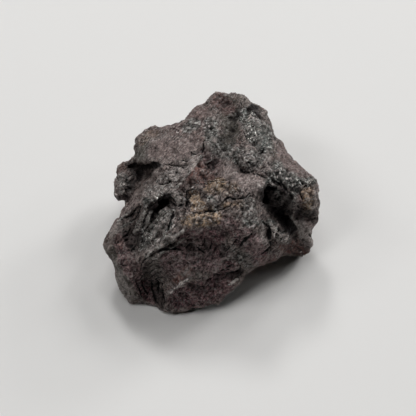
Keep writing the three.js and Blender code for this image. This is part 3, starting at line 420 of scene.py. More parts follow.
# Raised streaks of bright metal: half width and height in mm, then the line.
ribs = [
    (0.5, 1.1, [(-20.1, 0.7), (-21.1, -1.7), (-22.4, -4.6), (-24.1, -7.9)]),
    (0.45, 0.9, [(-18.5, -0.7), (-19.5, -3), (-20.1, -5.3), (-21.4, -7.6)]),
    (0.45, 0.9, [(-16.2, -3), (-17.8, -5), (-19.5, -6.9), (-20.5, -9.2)]),
    (0.4, 0.8, [(-14.9, -4.6), (-15.8, -6.6), (-17.5, -8.6), (-19.1, -10.9)]),
    (0.3, 0.3, [(-29, -6.6), (-26.7, -5.3), (-24.8, -4.3)]),
    (0.3, 0.3, [(-30, -4.6), (-28.1, -3), (-25.7, -1.3)]),
    (0.5, 1.0, [(-20.1, -16.5), (-18.2, -13.9), (-15.8, -12.9), (-13.2, -11.6), (-10.9, -9.6),
        (-8.2, -7.6)]),
    (0.4, 0.7, [(-17.8, -16.8), (-15.8, -15.2), (-13.2, -13.9), (-10.6, -12.2), (-8.2, -10.2)]),
    (0.5, 0.8, [(-13.9, -6.6), (-14.2, -8.6), (-14.9, -10.9)]),
    (0.4, 0.5, [(-2.3, 17.2), (-4, 14.9), (-5.9, 12.5), (-7.9, 9.9), (-9.9, 7.3), (-11.9, 5.3)]),
    (0.3, 0.3, [(-12.2, -8.2), (-13.2, -9.9), (-14.5, -11.6)]),
    (0.4, 0.4, [(30.4, 9.9), (31.7, 8.9), (33.3, 8.9), (35, 9.7)]),
    (0.35, 0.35, [(-12.5, -28.1), (-10.9, -26.7), (-8.9, -25.1), (-6.9, -23.8)]),
    (0.3, 0.3, [(6.9, -25.4), (8.6, -24.1), (9.9, -23.4)]),
    (0.35, 0.9, [(25.4, 0.3), (26.7, -1.7), (28.4, -4), (30, -6.9)]),
    (0.3, 0.3, [(1.3, 15.8), (-0.3, 14.9)]),
    (0.3, 0.3, [(5.6, 16.8), (6.9, 17.8), (7.9, 19.5)]),
]

# Finishes, and painted light and shade: how strong, how far to each side of the line in mm, and the line.
patches = {
    "mauve": [
        (1.0, 3.6, [(-16.5, 19.5), (-12.5, 19.5), (-8.6, 19.5)]),
        (0.8, 2.6, [(-7.3, 20.5), (-4, 21.8)]),
        (0.6, 2.4, [(-18.5, 25.4), (-13.9, 26.1), (-9.9, 26.7)]),
        (0.9, 2.6, [(-4.6, 31.4), (-1.7, 31), (-1, 28.4)]),
        (0.5, 2.4, [(-7.3, 25.1), (-2.6, 25.7)]),
        (0.95, 1.6, [(-2.6, 16.5), (-5.3, 13.2), (-7.9, 9.9), (-10.6, 6.9)]),
        (1.0, 2.6, [(5.9, 11.9), (9.9, 9.9), (13.9, 8.6), (17.2, 7.3)]),
        (0.9, 1.4, [(15.8, 5.9), (17.8, 7.6)]),
        (0.7, 3.0, [(25.1, 17.8), (28.4, 14.5), (31.7, 11.2)]),
        (0.3, 2.0, [(19.8, 15.8), (22.4, 13.2)]),
        (0.35, 2.6, [(-19.1, 9.9), (-23.1, 5.3), (-27.1, 0), (-30.4, -5.3), (-33, -10.6)]),
        (0.9, 3.2, [(30.4, -5.3), (33, -7.9)]),
        (0.6, 1.6, [(17.8, -17.8), (23.8, -15.8), (27.7, -14.5)]),
        (0.3, 3.0, [(12.2, -19.8), (5.6, -27.1), (-2.6, -30.4)]),
        (0.35, 2.4, [(-26.4, -17.8), (-23.1, -20.5)]),
    ],
    "wine": [
        (1.0, 5.0, [(-10.6, -17.8), (-2.6, -15.8), (4.6, -17.8)]),
        (1.0, 4.5, [(-9.2, -29), (-2.6, -29), (4.6, -25.7)]),
        (0.9, 3.0, [(-7.9, -9.9), (-2.6, -10.6), (2.6, -9.9)]),
        (0.9, 3.2, [(11.9, -9.9), (15.8, -12.5), (16.5, -15.8)]),
        (0.8, 2.6, [(-21.8, -25.7), (-19.1, -29)]),
        (0.7, 1.4, [(17.8, -18.5), (23.8, -16.5)]),
        (0.6, 2.6, [(-28.4, -10.6), (-27.1, -17.8), (-23.8, -22.4)]),
        (0.3, 2.0, [(3.3, 36.3), (6.6, 33)]),
        (0.4, 2.6, [(-1.7, 17.2), (2, 14.5)]),
        (0.5, 2.4, [(5.9, -4.6), (9.2, -7.9)]),
    ],
    "silver": [
        (0.55, 2.4, [(0.7, 27.7), (1.3, 24.4), (2.3, 21.8)]),
        (0.35, 2.4, [(2.6, 19.1), (5.9, 18.5)]),
        (0.9, 3.2, [(12.9, 30.4), (14.9, 27.1), (16.8, 23.8), (18.5, 21.1)]),
        (0.6, 2.0, [(19.8, 23.1), (18.5, 26.4)]),
        (0.6, 3.0, [(10.6, 17.2), (13.2, 15.8), (15.8, 16.5)]),
        (0.6, 1.6, [(-7.3, 26.4), (-5.3, 27.4), (-4, 28.1)]),
        (0.85, 2.0, [(-28.1, 9.9), (-27.4, 5.9)]),
        (0.35, 3.0, [(-11.2, 10.6), (-14.5, 7.3), (-17.8, 5.3)]),
        (0.9, 1.3, [(-20.5, 2.3), (-18.2, 2.3), (-15.8, 3.6)]),
        (0.9, 1.0, [(-20.1, 0.7), (-21.1, -1.7), (-22.4, -4.6), (-23.8, -7.6)]),
        (0.9, 2.4, [(-16.5, -1.3), (-19.1, -5.3), (-20.5, -8.6)]),
        (0.9, 1.9, [(-12.9, -1), (-13.2, -4), (-13.5, -5.9)]),
        (0.7, 2.0, [(-18.5, -9.9), (-21.4, -11.9)]),
        (0.7, 0.8, [(-20.1, -16.2), (-18.2, -13.9), (-15.2, -12.5), (-11.9, -10.6), (-9.2, -8.2)]),
        (1.0, 1.7, [(21.1, -5.3), (22.8, -7.6), (25.1, -9.9)]),
        (0.7, 1.2, [(12.5, -4.6), (15.2, -5.3), (17.8, -5)]),
        (0.75, 2.8, [(21.1, 7.9), (24.4, 10.6), (29, 7.9)]),
        (0.6, 2.0, [(22.4, 13.9), (21.8, 10.6)]),
        (0.9, 1.3, [(30.4, 9.2), (33, 8.9), (35.3, 9.6)]),
        (0.45, 2.2, [(5.3, -14.5), (8.9, -15.8), (13.2, -17.8)]),
        (0.8, 1.5, [(22.4, 5.9), (23.1, 1)]),
        (0.5, 1.6, [(28.1, 4.6), (27.1, 1.3)]),
        (0.6, 1.4, [(0.7, 3), (2, 0.7)]),
        (0.45, 2.6, [(13.2, 2), (13.9, -2)]),
        (0.4, 1.6, [(-9.9, 4), (-9.2, 2)]),
    ],
    "ochre": [
        (0.8, 1.9, [(-5, 4), (-3.3, 2), (-3, 0.3)]),
        (0.9, 1.4, [(0.7, 7.9), (4.6, 8.2)]),
        (0.5, 1.4, [(0, 6.3), (3.3, 5.9)]),
        (0.85, 1.9, [(-6.9, -4.6), (-4, -2.6), (-0.7, -2), (2.6, -3)]),
        (0.7, 1.3, [(-3.3, -5), (1.3, -4.6)]),
        (0.6, 1.0, [(5.3, 1), (7.9, 1.3)]),
        (0.35, 1.0, [(8.6, 1.7), (10.9, 1.7)]),
        (0.55, 2.0, [(33, 5.9), (33.3, 3.6)]),
        (0.8, 1.9, [(33.7, 2.3), (33, 0)]),
        (0.2, 1.4, [(-22.1, 21.8), (-20.5, 23.8), (-17.8, 24.8)]),
        (0.3, 1.6, [(8.6, 7.3), (5.9, 5.3)]),
    ],
    "rust": [
        (0.6, 2.6, [(-4.6, 9.9), (-2, 11.9), (0, 9.9)]),
        (0.8, 2.4, [(26.1, -12.9), (29.7, -13.5), (33.7, -13.5)]),
        (0.8, 1.6, [(-10.6, -23.8), (-8.6, -22.1), (-6.6, -20.5)]),
        (0.5, 1.0, [(-29.4, -9.9), (-28.4, -12.5)]),
        (0.7, 0.35, [(-1.7, 8.6), (-0.3, 8.9), (1, 9.6), (2.6, 9.9), (4.6, 10.1)]),
        (0.5, 0.5, [(-1, -1.3), (2, -2.6), (4, -3.3)]),
        (0.3, 1.6, [(-29.7, 11.9), (-27.7, 13.9)]),
        (0.4, 1.0, [(13.9, -23.8), (17.8, -19.8), (22.4, -17.5)]),
        (0.35, 1.4, [(30.4, 2.6), (31.4, 1.3)]),
        (0.3, 2.6, [(3.6, 36), (6.3, 33.3)]),
    ],
    "olive": [
        (1.0, 2.4, [(-22.4, 17.8), (-19.8, 19.8)]),
        (0.9, 2.8, [(6.9, 30.4), (7.6, 26.4), (6.3, 21.8)]),
        (0.8, 2.8, [(4.6, 36), (6.6, 33.7), (7.3, 31.7)]),
        (0.5, 3.0, [(1.3, 26.4), (2, 21.8), (0.7, 17.2)]),
        (0.4, 2.4, [(11.2, 36.3), (17.8, 30.4), (20.5, 25.1)]),
        (0.9, 2.6, [(-30, -20.5), (-28.4, -24.4), (-26.4, -29)]),
        (0.7, 1.7, [(-19.1, 24.1), (-14.2, 24.8)]),
        (0.6, 2.4, [(-17.5, -19.1), (-14.5, -21.1)]),
        (0.5, 1.6, [(17.8, -7.3), (18.2, -11.2)]),
        (0.75, 2.2, [(-33.7, -12.5), (-31, -15.8)]),
        (0.6, 2.4, [(19.1, 21.8), (20.5, 18.5), (22.4, 15.2)]),
        (0.5, 2.0, [(-19.1, 10.2), (-23.1, 5.6)]),
        (0.6, 2.2, [(-31.7, -9.2), (-29, -6.6)]),
    ],
    "cream": [
        (0.8, 0.8, [(3.3, 6.6), (4, 7.3)]),
        (0.7, 1.5, [(-4.3, 3.3), (-3, 1)]),
        (0.9, 0.7, [(-5, 0), (-4, 0)]),
        (0.8, 0.9, [(-5.6, -3), (-6.6, -4.6)]),
        (0.9, 0.9, [(-3.6, -2.3), (-2.3, -2.3)]),
        (1.0, 0.8, [(2.6, -2.3), (3.3, -3.3)]),
        (0.6, 1.2, [(33.3, 2), (33.7, 0.3)]),
    ],
    # Pale stone, and painted light: light put on crests, ridges and faces that lie in shade.
    "paleAndPaintedLight": [
        (0.3, 5.0, [(-16.5, 19.5), (-12.5, 19.5), (-7.9, 19.1)]),
        (0.3, 5.0, [(-10.6, -18.5), (-5.3, -19.1), (0, -18.5)]),
        (0.45, 3.0, [(-5.9, -12.5), (-1, -13.9)]),
        (0.25, 3.4, [(-18.5, -18.5), (-15.8, -21.8)]),
        (1.0, 2.3, [(-12.9, -1), (-13.9, -3.6), (-14.9, -6.3)]),
        (0.8, 2.2, [(-11.9, -10.6), (-16.5, -11.6), (-19.1, -13.5)]),
        (0.6, 2.6, [(-18.5, -2), (-19.8, -5.9), (-18.5, -8.6)]),
        (0.45, 2.8, [(6.6, 11.6), (10.6, 9.6), (15.8, 7.6)]),
        (0.55, 2.6, [(12.5, 17.2), (13.9, 14.9)]),
        (0.25, 2.6, [(12.5, 0.7), (13.9, -2)]),
        (0.25, 3.0, [(12.5, -9.2), (15.2, -12.5)]),
        (0.3, 1.8, [(-11.2, 4.6), (-9.2, 2.6)]),
        (0.25, 2.6, [(-27.7, -8.6), (-24.4, -12.5)]),
        (0.25, 2.8, [(13.9, 26.4), (15.8, 22.4)]),
        (1.0, 0.5, [(-2.6, 16.5), (-4, 14.9), (-5.3, 13.2), (-6.6, 11.6), (-7.9, 9.9), (-9.2, 8.2)]),
        (0.6, 1.0, [(-3.6, 18.2), (-5.6, 14.9), (-7.9, 12.2)]),
        (0.7, 2.2, [(-10.6, 11.9), (-13.9, 8.2), (-17.2, 5)]),
        (0.8, 1.8, [(-28.7, 9.9), (-27.7, 7.3), (-26.4, 5.9)]),
        (0.35, 1.6, [(21.1, 5.3), (22.1, 1)]),
        (0.9, 0.5, [(18.2, 6.6), (19.8, 7.1), (21.8, 7.1), (23.4, 6.6)]),
        (1.0, 0.5, [(-20.1, -16.5), (-19.1, -14.9), (-17.5, -13.5), (-15.5, -12.5), (-13.2, -11.2),
            (-10.9, -9.9), (-8.2, -7.9)]),
        (0.9, 0.4, [(-18.2, -16.8), (-16.2, -15.2), (-13.5, -13.9), (-10.6, -12.2), (-8.2, -10.2)]),
        (0.85, 2.6, [(30.4, -5.9), (32.3, -7.9), (33.3, -10.6)]),
        (0.8, 0.4, [(25.1, 0.7), (26.4, -2), (28.1, -4.3), (29.7, -6.9)]),
        (0.7, 0.8, [(18.2, -5.9), (18.5, -8.6), (18.8, -11.6)]),
        (0.5, 1.2, [(15.8, 5.9), (17.8, 7.6)]),
        (0.9, 0.9, [(-20.1, 0.7), (-21.1, -1.7), (-22.4, -4.6), (-23.8, -7.6)]),
        (0.55, 0.8, [(-16.5, -1.7), (-18.2, -4.3), (-19.8, -7.6)]),
        (0.6, 1.2, [(-13.9, -2.3), (-14.2, -4.6), (-14.5, -6.3)]),
        (0.5, 2.0, [(-30.4, -22.4), (-28.7, -25.7), (-26.4, -29)]),
        (0.45, 1.4, [(-31.7, -7.9), (-29, -5.9), (-26.4, -3.3)]),
        (0.8, 0.7, [(-8.2, -22.1), (-6.6, -20.1)]),
        (0.9, 1.1, [(-13.2, -28.4), (-10.9, -26.4), (-8.9, -25.1)]),
        (0.5, 0.8, [(4.6, -17.8), (7.6, -16.2), (9.9, -14.5)]),
        (0.5, 1.4, [(19.1, 19.1), (19.8, 15.8), (20.5, 13.2)]),
        (0.5, 1.0, [(22.4, -8.6), (24.1, -9.6), (25.4, -10.6)]),
        (0.4, 1.4, [(-29, 8.6), (-27.7, 5.9)]),
        (0.4, 1.6, [(2.6, 6.6), (4.6, 3.3), (2, 1.3)]),
        (0.4, 1.2, [(11.6, 27.7), (13.9, 24.4), (15.8, 21.8)]),
        (1.0, 1.8, [(21.8, -6.9), (23.4, -8.9), (25.1, -10.2)]),
        (0.5, 1.6, [(26.7, 2.6), (29, 0.3)]),
        (0.6, 1.4, [(14.2, 30), (16.2, 28.7)]),
        (0.5, 1.6, [(11.6, 17.8), (13.9, 16.5), (15.8, 14.5)]),
        (0.7, 1.6, [(-19.1, -3), (-17.2, -3.3)]),
        (0.5, 2.4, [(-19.1, 4), (-15.8, 5.9), (-12.5, 8.6)]),
    ],
    # Partly dark stone, partly painted shade: in the cavity, the groove, the gap under the lip and the hollow
    # under the slab's edge.
    "dark": [
        (1.0, 1.0, [(-22.1, 13.2), (-19.1, 13.9), (-16.5, 14.2)]),
        (0.8, 1.5, [(-22.4, 12.2), (-24.4, 9.2), (-25.7, 6.9)]),
        (0.7, 0.9, [(-29.7, 3), (-26.7, 4)]),
        (1.0, 1.3, [(-18.8, 0.3), (-16.8, 1.3), (-14.5, 2.6), (-13.2, 3.6)]),
        (0.5, 1.5, [(-18.5, -25.1), (-16.5, -28.4), (-15.8, -31)]),
        (0.3, 1.4, [(-20.5, -21.1), (-19.1, -23.8)]),
        (0.9, 0.45, [(0, -3), (1, -3.3)]),
        (0.9, 0.4, [(1.3, -4.6), (2.6, -5)]),
        (0.8, 0.4, [(-2, -3.6), (-2.6, -4.6)]),
        (0.8, 0.4, [(-5, -3.6), (-4.6, -5.3)]),
        (0.8, 0.45, [(-6.9, 5.3), (-6.6, 3), (-6.9, 0.7)]),
        (0.7, 0.4, [(-0.7, 5.3), (-1.3, 3.6)]),
        (0.35, 0.7, [(-5.9, -9.2), (-4, -10.2)]),
        (0.35, 0.7, [(-1.7, -11.6), (0.3, -10.6)]),
        (0.35, 0.6, [(4, -8.9), (5.9, -9.9)]),
        (0.8, 2.8, [(19.8, 5.3), (21.1, 1.3), (23.8, -0.7)]),
        (1.0, 1.7, [(22.4, -0.7), (25.1, -4), (27.4, -7.3)]),
        (0.7, 1.4, [(30, -2), (34.3, -1.7)]),
        (0.5, 1.2, [(-5, -26.4), (-1, -27.1)]),
        (0.5, 1.2, [(3.3, -23.4), (7.3, -22.4), (10.6, -21.1)]),
        (0.35, 1.4, [(-26.7, -9.2), (-24.8, -13.2)]),
        (1.0, 0.9, [(13.5, 32.7), (14.9, 33.7), (16.2, 33.3)]),
        (0.9, 0.5, [(15.5, 32.3), (16.5, 31.4), (17.2, 30)]),
        (0.12, 2.6, [(7.9, 29.7), (6.9, 25.1), (5, 20.5)]),
        (0.22, 2.4, [(4.3, 35), (6.6, 33.3)]),
        (0.6, 1.6, [(-25.7, 13.9), (-23.1, 12.5)]),
        (0.6, 1.4, [(25.1, 5.3), (26.4, 2.6), (27.1, -0.7)]),
        (0.9, 0.45, [(20.8, 10.6), (22.1, 9.2), (24.1, 7.3)]),
        (0.8, 0.4, [(25.1, 12.2), (26.4, 10.6), (26.7, 8.9)]),
        (0.8, 0.4, [(25.1, 6.3), (26.4, 5), (28.1, 6.3)]),
        (0.7, 0.4, [(22.8, 12.2), (23.8, 10.9), (23.4, 9.6)]),
        (0.7, 0.4, [(29, 8.2), (30.4, 6.6), (30.7, 4.3)]),
        (0.6, 0.6, [(-22.1, -5.9), (-23.1, -9.2), (-23.8, -11.9)]),
        (0.25, 2.2, [(25.7, -13.5), (29, -14.2), (32.3, -13.9)]),
        (0.75, 0.35, [(-15.5, 8.2), (-14.2, 8.6), (-12.5, 8.9)]),
    ],
    # Painted highlights: bright specks where crystals and ridges catch the light.
    "fleck": [
        (0.8, 0.35, [(-10.4, 25.2), (-9.9, 25.2)]),
        (1.0, 0.45, [(-6.9, -23.6), (-7.8, -24.1)]),
        (1.0, 0.6, [(-8.7, -24.8), (-9.4, -25.1)]),
        (1.0, 0.5, [(-10.2, -25.7), (-10.7, -26.2)]),
        (1.0, 0.5, [(-12, -27.7), (-12.7, -28.2)]),
        (0.8, 0.45, [(9.6, -23.6), (8.6, -24.3), (7.6, -24.9)]),
        (0.9, 0.4, [(24.8, -8.9), (25.4, -9.9)]),
        (0.9, 0.35, [(22.1, -7.4), (22.8, -7.9)]),
        (0.9, 0.35, [(23.4, -8.2), (24.1, -9.2)]),
        (0.9, 0.45, [(22.4, -9.2), (23.1, -8.2)]),
        (0.9, 0.45, [(24.4, -10.9), (25.4, -8.9)]),
        (0.7, 0.3, [(0.3, -3.6), (1, -4.3)]),
        (0.7, 0.3, [(-11.2, -5.6), (-11.9, -6.6)]),
        (0.7, 0.3, [(-19.8, 2.3), (-18.8, 3)]),
        (0.7, 0.3, [(-20.1, -5.3), (-20.8, -6.6)]),
        (0.7, 0.3, [(-15.8, -9.9), (-16.8, -10.9)]),
        (0.7, 0.3, [(12.9, 18.5), (13.9, 18.2)]),
        (0.6, 0.4, [(13.9, 30.7), (16.2, 29.4)]),
        (0.6, 0.45, [(16.8, 7.6), (17.8, 6.9)]),
        (0.7, 0.35, [(20.1, 7.9), (22.4, 7.3)]),
        (0.7, 0.35, [(25.7, 9.9), (26.4, 9.2)]),
        (0.6, 0.4, [(10.2, -6.6), (11.6, -6.6)]),
        (0.6, 0.35, [(13.9, -6.3), (15.2, -5.9)]),
    ],
}

# Spots of a finish or of painted highlight: how strong, radius in mm, and where they are.
spots = {
    "rust": [
        (0.8, 0.6, [(11.6, 25.7)]),
        (0.6, 0.8, [(10.2, 22.1)]),
    ],
    "cream": [
        (0.9, 0.9, [(1.7, 7.9)]),
        (0.9, 0.8, [(-1, -4)]),
        (0.9, 0.7, [(0.3, -1.7)]),
        (0.7, 0.7, [(-0.3, -5.3), (-4, -4.6)]),
        (0.6, 0.8, [(-0.3, 6.6)]),
        (0.6, 0.7, [(1.3, 0.3)]),
        (0.5, 0.9, [(32.3, 5.6)]),
        (0.5, 0.6, [(5.9, 1)]),
        (0.3, 0.9, [(9.9, 1)]),
    ],
    # Painted highlights.
    "fleck": [
        (1.0, 0.45, [(1.5, 0.2)]),
        (1.0, 0.4, [(-5, 6.9), (-4.3, 0), (0.2, 27.2)]),
        (0.9, 0.4, [(30.7, -14.9), (-11.4, -26.7), (-27.7, 7.9), (-26.7, 6.6), (24.1, 11.9)]),
        (0.8, 0.4, [(21.8, -8.2), (23.1, 10.4), (25.1, 8.6)]),
        (0.8, 0.35, [(21.1, -6.6), (23.8, -10.6), (-30.4, 4.6), (-28.4, 4.5)]),
        (0.7, 0.4, [(27.4, 9.9)]),
        (0.7, 0.35, [(26.1, -9.9), (16.2, 28.1), (15.8, 24.4), (13.2, 25.1), (-29.4, 6.3),
            (-27.1, 10.2), (28.1, 7.6), (12.2, -4.6)]),
        (0.7, 0.3, [(-2.6, -1.7), (3, -1.7), (-7.3, -1.7), (-9.9, -3.6), (-22.1, 1.3), (10.9, 16.8),
            (-27.1, 4.6)]),
        (0.6, 0.4, [(12.2, 16.8), (15.2, 16.5)]),
        (0.6, 0.35, [(16.5, 20.1), (-18.2, 2), (-18.8, 5.9), (-1, 4), (3.3, -3.6), (-5.9, -5.3),
            (7.9, 7.3)]),
        (0.6, 0.3, [(5.9, 28.4), (1.3, 25.4), (9.9, 21.8)]),
    ],
}


def addLumps(piece, tree):  # balls, which the remesh melts into the stone
    for radius, rise, marks in lumps:
        for mark in marks:
            hit, way = lookAt(tree, mark)
            if hit is None:
                continue
            centre = hit + way * (radius - rise)
            bpy.ops.object.select_all(action="DESELECT")
            bpy.ops.mesh.primitive_ico_sphere_add(
                subdivisions=3, radius=radius * millimetre, location=centre * millimetre)
            ball = bpy.context.object
            selectOnly(piece)
            ball.select_set(True)
            bpy.ops.object.join()


def layLine(tree, line, rng):  # the places on the stone where a drawn line falls
    laid = stone["laid"]
    line = np.array(line, float)
    if len(line) == 1:
        line = np.array([line[0], line[0] + 0.01])
    lengths = np.hypot(*np.diff(line, axis=0).T)
    along = np.concatenate([[0], np.cumsum(lengths)])
    start = rng.uniform(0, 50)
    places = []
    for step in np.arange(0, along[-1] + laid["step"], laid["step"]):
        mark = np.array([np.interp(step, along, line[:, 0]), np.interp(step, along, line[:, 1])])
        waver = [noise.noise((start, step * laid["waverPace"], drift)) for drift in (0, 9)]
        hit, _ = lookAt(tree, mark + laid["waver"] * np.array(waver))
        if hit is not None:
            places.append(hit)
    return places


def wanderLine(tree, place, way, length, rng):  # a crack that runs over the stone from a place
    step, turn = stone["hiddenCracks"]["step"], stone["hiddenCracks"]["turn"]
    places = []
    for _ in range(int(length / step)):
        way = (way + Vector(rng.normal(0, turn, 3))).normalized()
        place, normal = tree.find_nearest(place + way * step)[:2]
        way = (way - normal * way.dot(normal)).normalized()
        places.append(place.copy())
    return places


def featureLines(tree, points, inView):  # all cracks and pits: places, half widths, depths and blackness
    rng = np.random.default_rng(41)
    laid, hiddenCracks, hiddenPits = stone["laid"], stone["hiddenCracks"], stone["hiddenPits"]
    mean, change, size = laid["swell"]
    places, widths, depths, inks = [], [], [], []

    def keep(run, width, depth, ink):
        for index, place in enumerate(run):
            share = 1
            if len(run) > laid["fewest"]:
                end = min(index, len(run) - 1 - index) / max(len(run) * laid["taper"], 1)
                share = (0.5 + 0.5 * min(end, 1)) * (mean + change * noise.noise(Vector(place) / size))
            places.append(place)
            widths.append(width * max(share, laid["thinnest"]))
            depths.append(depth * share)
            inks.append(ink)

    for width, depth, line in cracks.values():
        keep(layLine(tree, line, rng), width, depth, 1)
    for radius, depth, marks in pits:
        for mark in marks:
            run = layLine(tree, [mark], rng)
            keep(run, radius * rng.uniform(*laid["pitWidth"]), depth, laid["pitInk"])
    unseen = np.nonzero(inView < 0.5)[0]
    for _ in range(hiddenCracks["count"]):
        start = Vector(points[rng.choice(unseen)])
        way = Vector(rng.normal(0, 1, 3)).normalized()
        run = wanderLine(tree, start, way, rng.uniform(*hiddenCracks["length"]), rng)
        run = [place for place in run if not inSight(tree, place)]
        keep(run, rng.uniform(*hiddenCracks["halfWidth"]), rng.uniform(*hiddenCracks["depth"]), 1)
    for _ in range(hiddenPits["count"]):
        place = Vector(points[rng.choice(unseen)])
        radius, depth = rng.uniform(*hiddenPits["radius"]), rng.uniform(*hiddenPits["depth"])
        keep([place], radius, depth, laid["pitInk"])
    return places, np.array(widths), np.array(depths), np.array(inks)


def refineNear(piece, chosen):  # halves the mesh where it is chosen
    mesh = piece.data
    selectOnly(piece)
    bpy.ops.object.mode_set(mode="EDIT")
    bpy.ops.mesh.select_mode(type="FACE")
    bpy.ops.mesh.select_all(action="DESELECT")
    bpy.ops.object.mode_set(mode="OBJECT")
    corners = np.empty(len(mesh.loops), np.int32)
    mesh.loops.foreach_get("vertex_index", corners)
    starts = np.empty(len(mesh.polygons), np.int32)
    mesh.polygons.foreach_get("loop_start", starts)
    picked = np.maximum.reduceat(chosen[corners].astype(np.int8), starts) > 0
    mesh.polygons.foreach_set("select", picked)
    bpy.ops.object.mode_set(mode="EDIT")
    bpy.ops.mesh.subdivide(number_cuts=1, smoothness=0.0)
    bpy.ops.object.mode_set(mode="OBJECT")


def layFinishes(points, inView):  # how strong each finish is at each point
    marks = markOf(points)
    rag = sum(reach * cloud(points, size, drift=drift) for reach, size, drift in stone["rag"])
    inner, outer = stone["fade"]
    finishes = {}
    for name, strokes in patches.items():
        dots = [(amount, reach, [mark]) for amount, reach, group in spots.get(name, []) for mark in group]
        mask = np.zeros(len(points))
        for amount, reach, line in strokes + dots:
            gap = awayFrom(marks, line) + rag * min(reach / stone["fullRag"], 1)
            mask = np.maximum(mask, amount * (1 - ease(reach * inner, reach * outer, gap)))
        finishes[name] = mask * inView
    for number, (name, (low, high, size)) in enumerate(stone["hiddenFinishes"].items()):
        field = cloud(points, size, 3, drift=11.0 * number + 3)
        finishes[name] = finishes[name] + (1 - inView) * ease(low, high, field)
    return finishes


def flats(points, size, slope, rng):  # broken flats of that size, as height over the surface
    low = points.min(0) - size
    high = points.max(0) + size
    count = int(np.prod((high - low) / size))
    seeds = rng.uniform(low, high, (count, 3))
    slopes = rng.normal(0, slope, (count, 3))
    rises = rng.normal(0, stone["flatRise"] * size, count)
    tree = KDTree(count)
    for index, seed in enumerate(seeds):
        tree.insert(seed, index)
    tree.balance()
    heights = np.array([
        max(rises[index] + (point - seeds[index]) @ slopes[index] - stone["flatFall"] * gap
            for _, index, gap in tree.find_n(point, 3))
        for point in points
    ])
    return heights - heights.mean()


def reliefOver(points, inView, finishes):  # height over the surface in mm, and where the bright streaks are
    rng = np.random.default_rng(7)
    rough = 1
    for name, share in stone["rougher"].items():
        rough = rough + share * finishes[name]
    rough = np.clip(rough, *stone["roughness"])
    lift = np.zeros(len(points))
    for size, slope, share in stone["flats"]:
        lift += share * rough * flats(points, size, slope, rng)
    height, size = stone["bumps"]
    lift += height * rough * cloud(points, size, 2, drift=31)
    grainWay = np.array(stone["grainWay"])
    grainWay /= np.linalg.norm(grainWay)
    drawnOut = points - stone["grainStretch"] * (points @ grainWay)[:, None] * grainWay
    height, size = stone["grooves"]
    lift -= height * rough * np.abs(cloud(drawnOut, size, 3, drift=17))
    height, size = stone["hollows"]
    lift -= height * rough * np.abs(cloud(points, size, 3, drift=23))
    streak = np.zeros(len(points))
    marks = markOf(points)
    for width, height, line in ribs:
        band = np.exp(-(awayFrom(marks, line) / width) ** 2) * inView
        lift += height * band
        streak = np.maximum(streak, band)
    return lift, streak


def makeStone():
    piece = copyOfNode("meteorite", "stone")
    addLumps(piece, treeOf(readPoints(piece.data), piece.data))
    applyModifier(piece, "REMESH", mode="VOXEL", voxel_size=stone["voxel"] * millimetre)
    mesh = piece.data
    print("stone remeshed:", len(mesh.polygons), "faces")

    points, normals = readPoints(mesh), readNormals(mesh)
    tree = treeOf(points, mesh)
    places, widths, depths, inks = featureLines(tree, points, viewShare(points, normals, tree))
    print("lines laid:", len(places), "places")
    away, index = nearestPlace(points, places)
    refineNear(piece, (away < widths[index] + stone["fineReach"]) & (widths[index] < stone["fineWidth"]))
    print("mesh refined along the cracks:", len(mesh.polygons), "faces")

    points, normals = readPoints(mesh), readNormals(mesh)
    inView = spread(mesh, viewShare(points, normals, tree), stone["viewBlur"])
    finishes = layFinishes(points, inView)
    print("finishes laid")

    lift, streak = reliefOver(points, inView, finishes)
    away, index = nearestPlace(points, places)
    lift -= depths[index] * np.exp(-(away / widths[index]) ** 2)
    lift *= ease(*stone["foot"], points[:, 2])
    points = points + normals * lift[:, None]
    points[:, 2] = np.maximum(points[:, 2], 0)
    writePoints(mesh, points)

    normals = readNormals(mesh)
    # Painted shade in hollows, and lighter edges that are partly wear and partly painted highlight, from how
    # far each point lies below or above its evened-out neighbours.
    for name, sign in (("hollow", 1), ("edge", -1)):
        finishes[name] = np.zeros(len(points))
        for (low, high, share), passes in zip(stone[name], (stone["finePasses"], stone["broadPasses"])):
            inward = ((spread(mesh, points, passes) - points) * normals).sum(1)
            finishes[name] += ease(low, high, sign * inward) * share
    ink = 0.5 - (away - stone["inkWidth"] * widths[index]) / stone["inkFade"]
    finishes["crack"] = np.clip(ink, 0, 1) * inks[index]
    finishes["silver"] = np.maximum(finishes["silver"], streak)
    for name, values in finishes.items():
        attribute = mesh.attributes.new(name, "FLOAT", "POINT")
        attribute.data.foreach_set("value", np.clip(values, 0, 1).astype(np.float32))
    mesh.shade_smooth()
    return piece


rock = makeStone()
print("stone carved:", len(rock.data.vertices), "points")


def linear(hexColour):
    parts = [int(hexColour[i:i + 2], 16) / 255 for i in (1, 3, 5)]
    return tuple(c / 12.92 if c <= 0.04045 else ((c + 0.055) / 1.055) ** 2.4 for c in parts) + (1,)


def addNode(tree, kind, inputs, output=0, **settings):  # gives back one of its outputs
    node = tree.nodes.new("ShaderNode" + kind)
    for name, value in settings.items():
        setattr(node, name, value)
    for name, value in inputs.items():
        socket = node.inputs[name]
        if isinstance(value, bpy.types.NodeSocket):
            tree.links.new(value, socket)
        elif isinstance(value, str):
            socket.default_value = linear(value)
        else:
            socket.default_value = value
    return node.outputs[output]
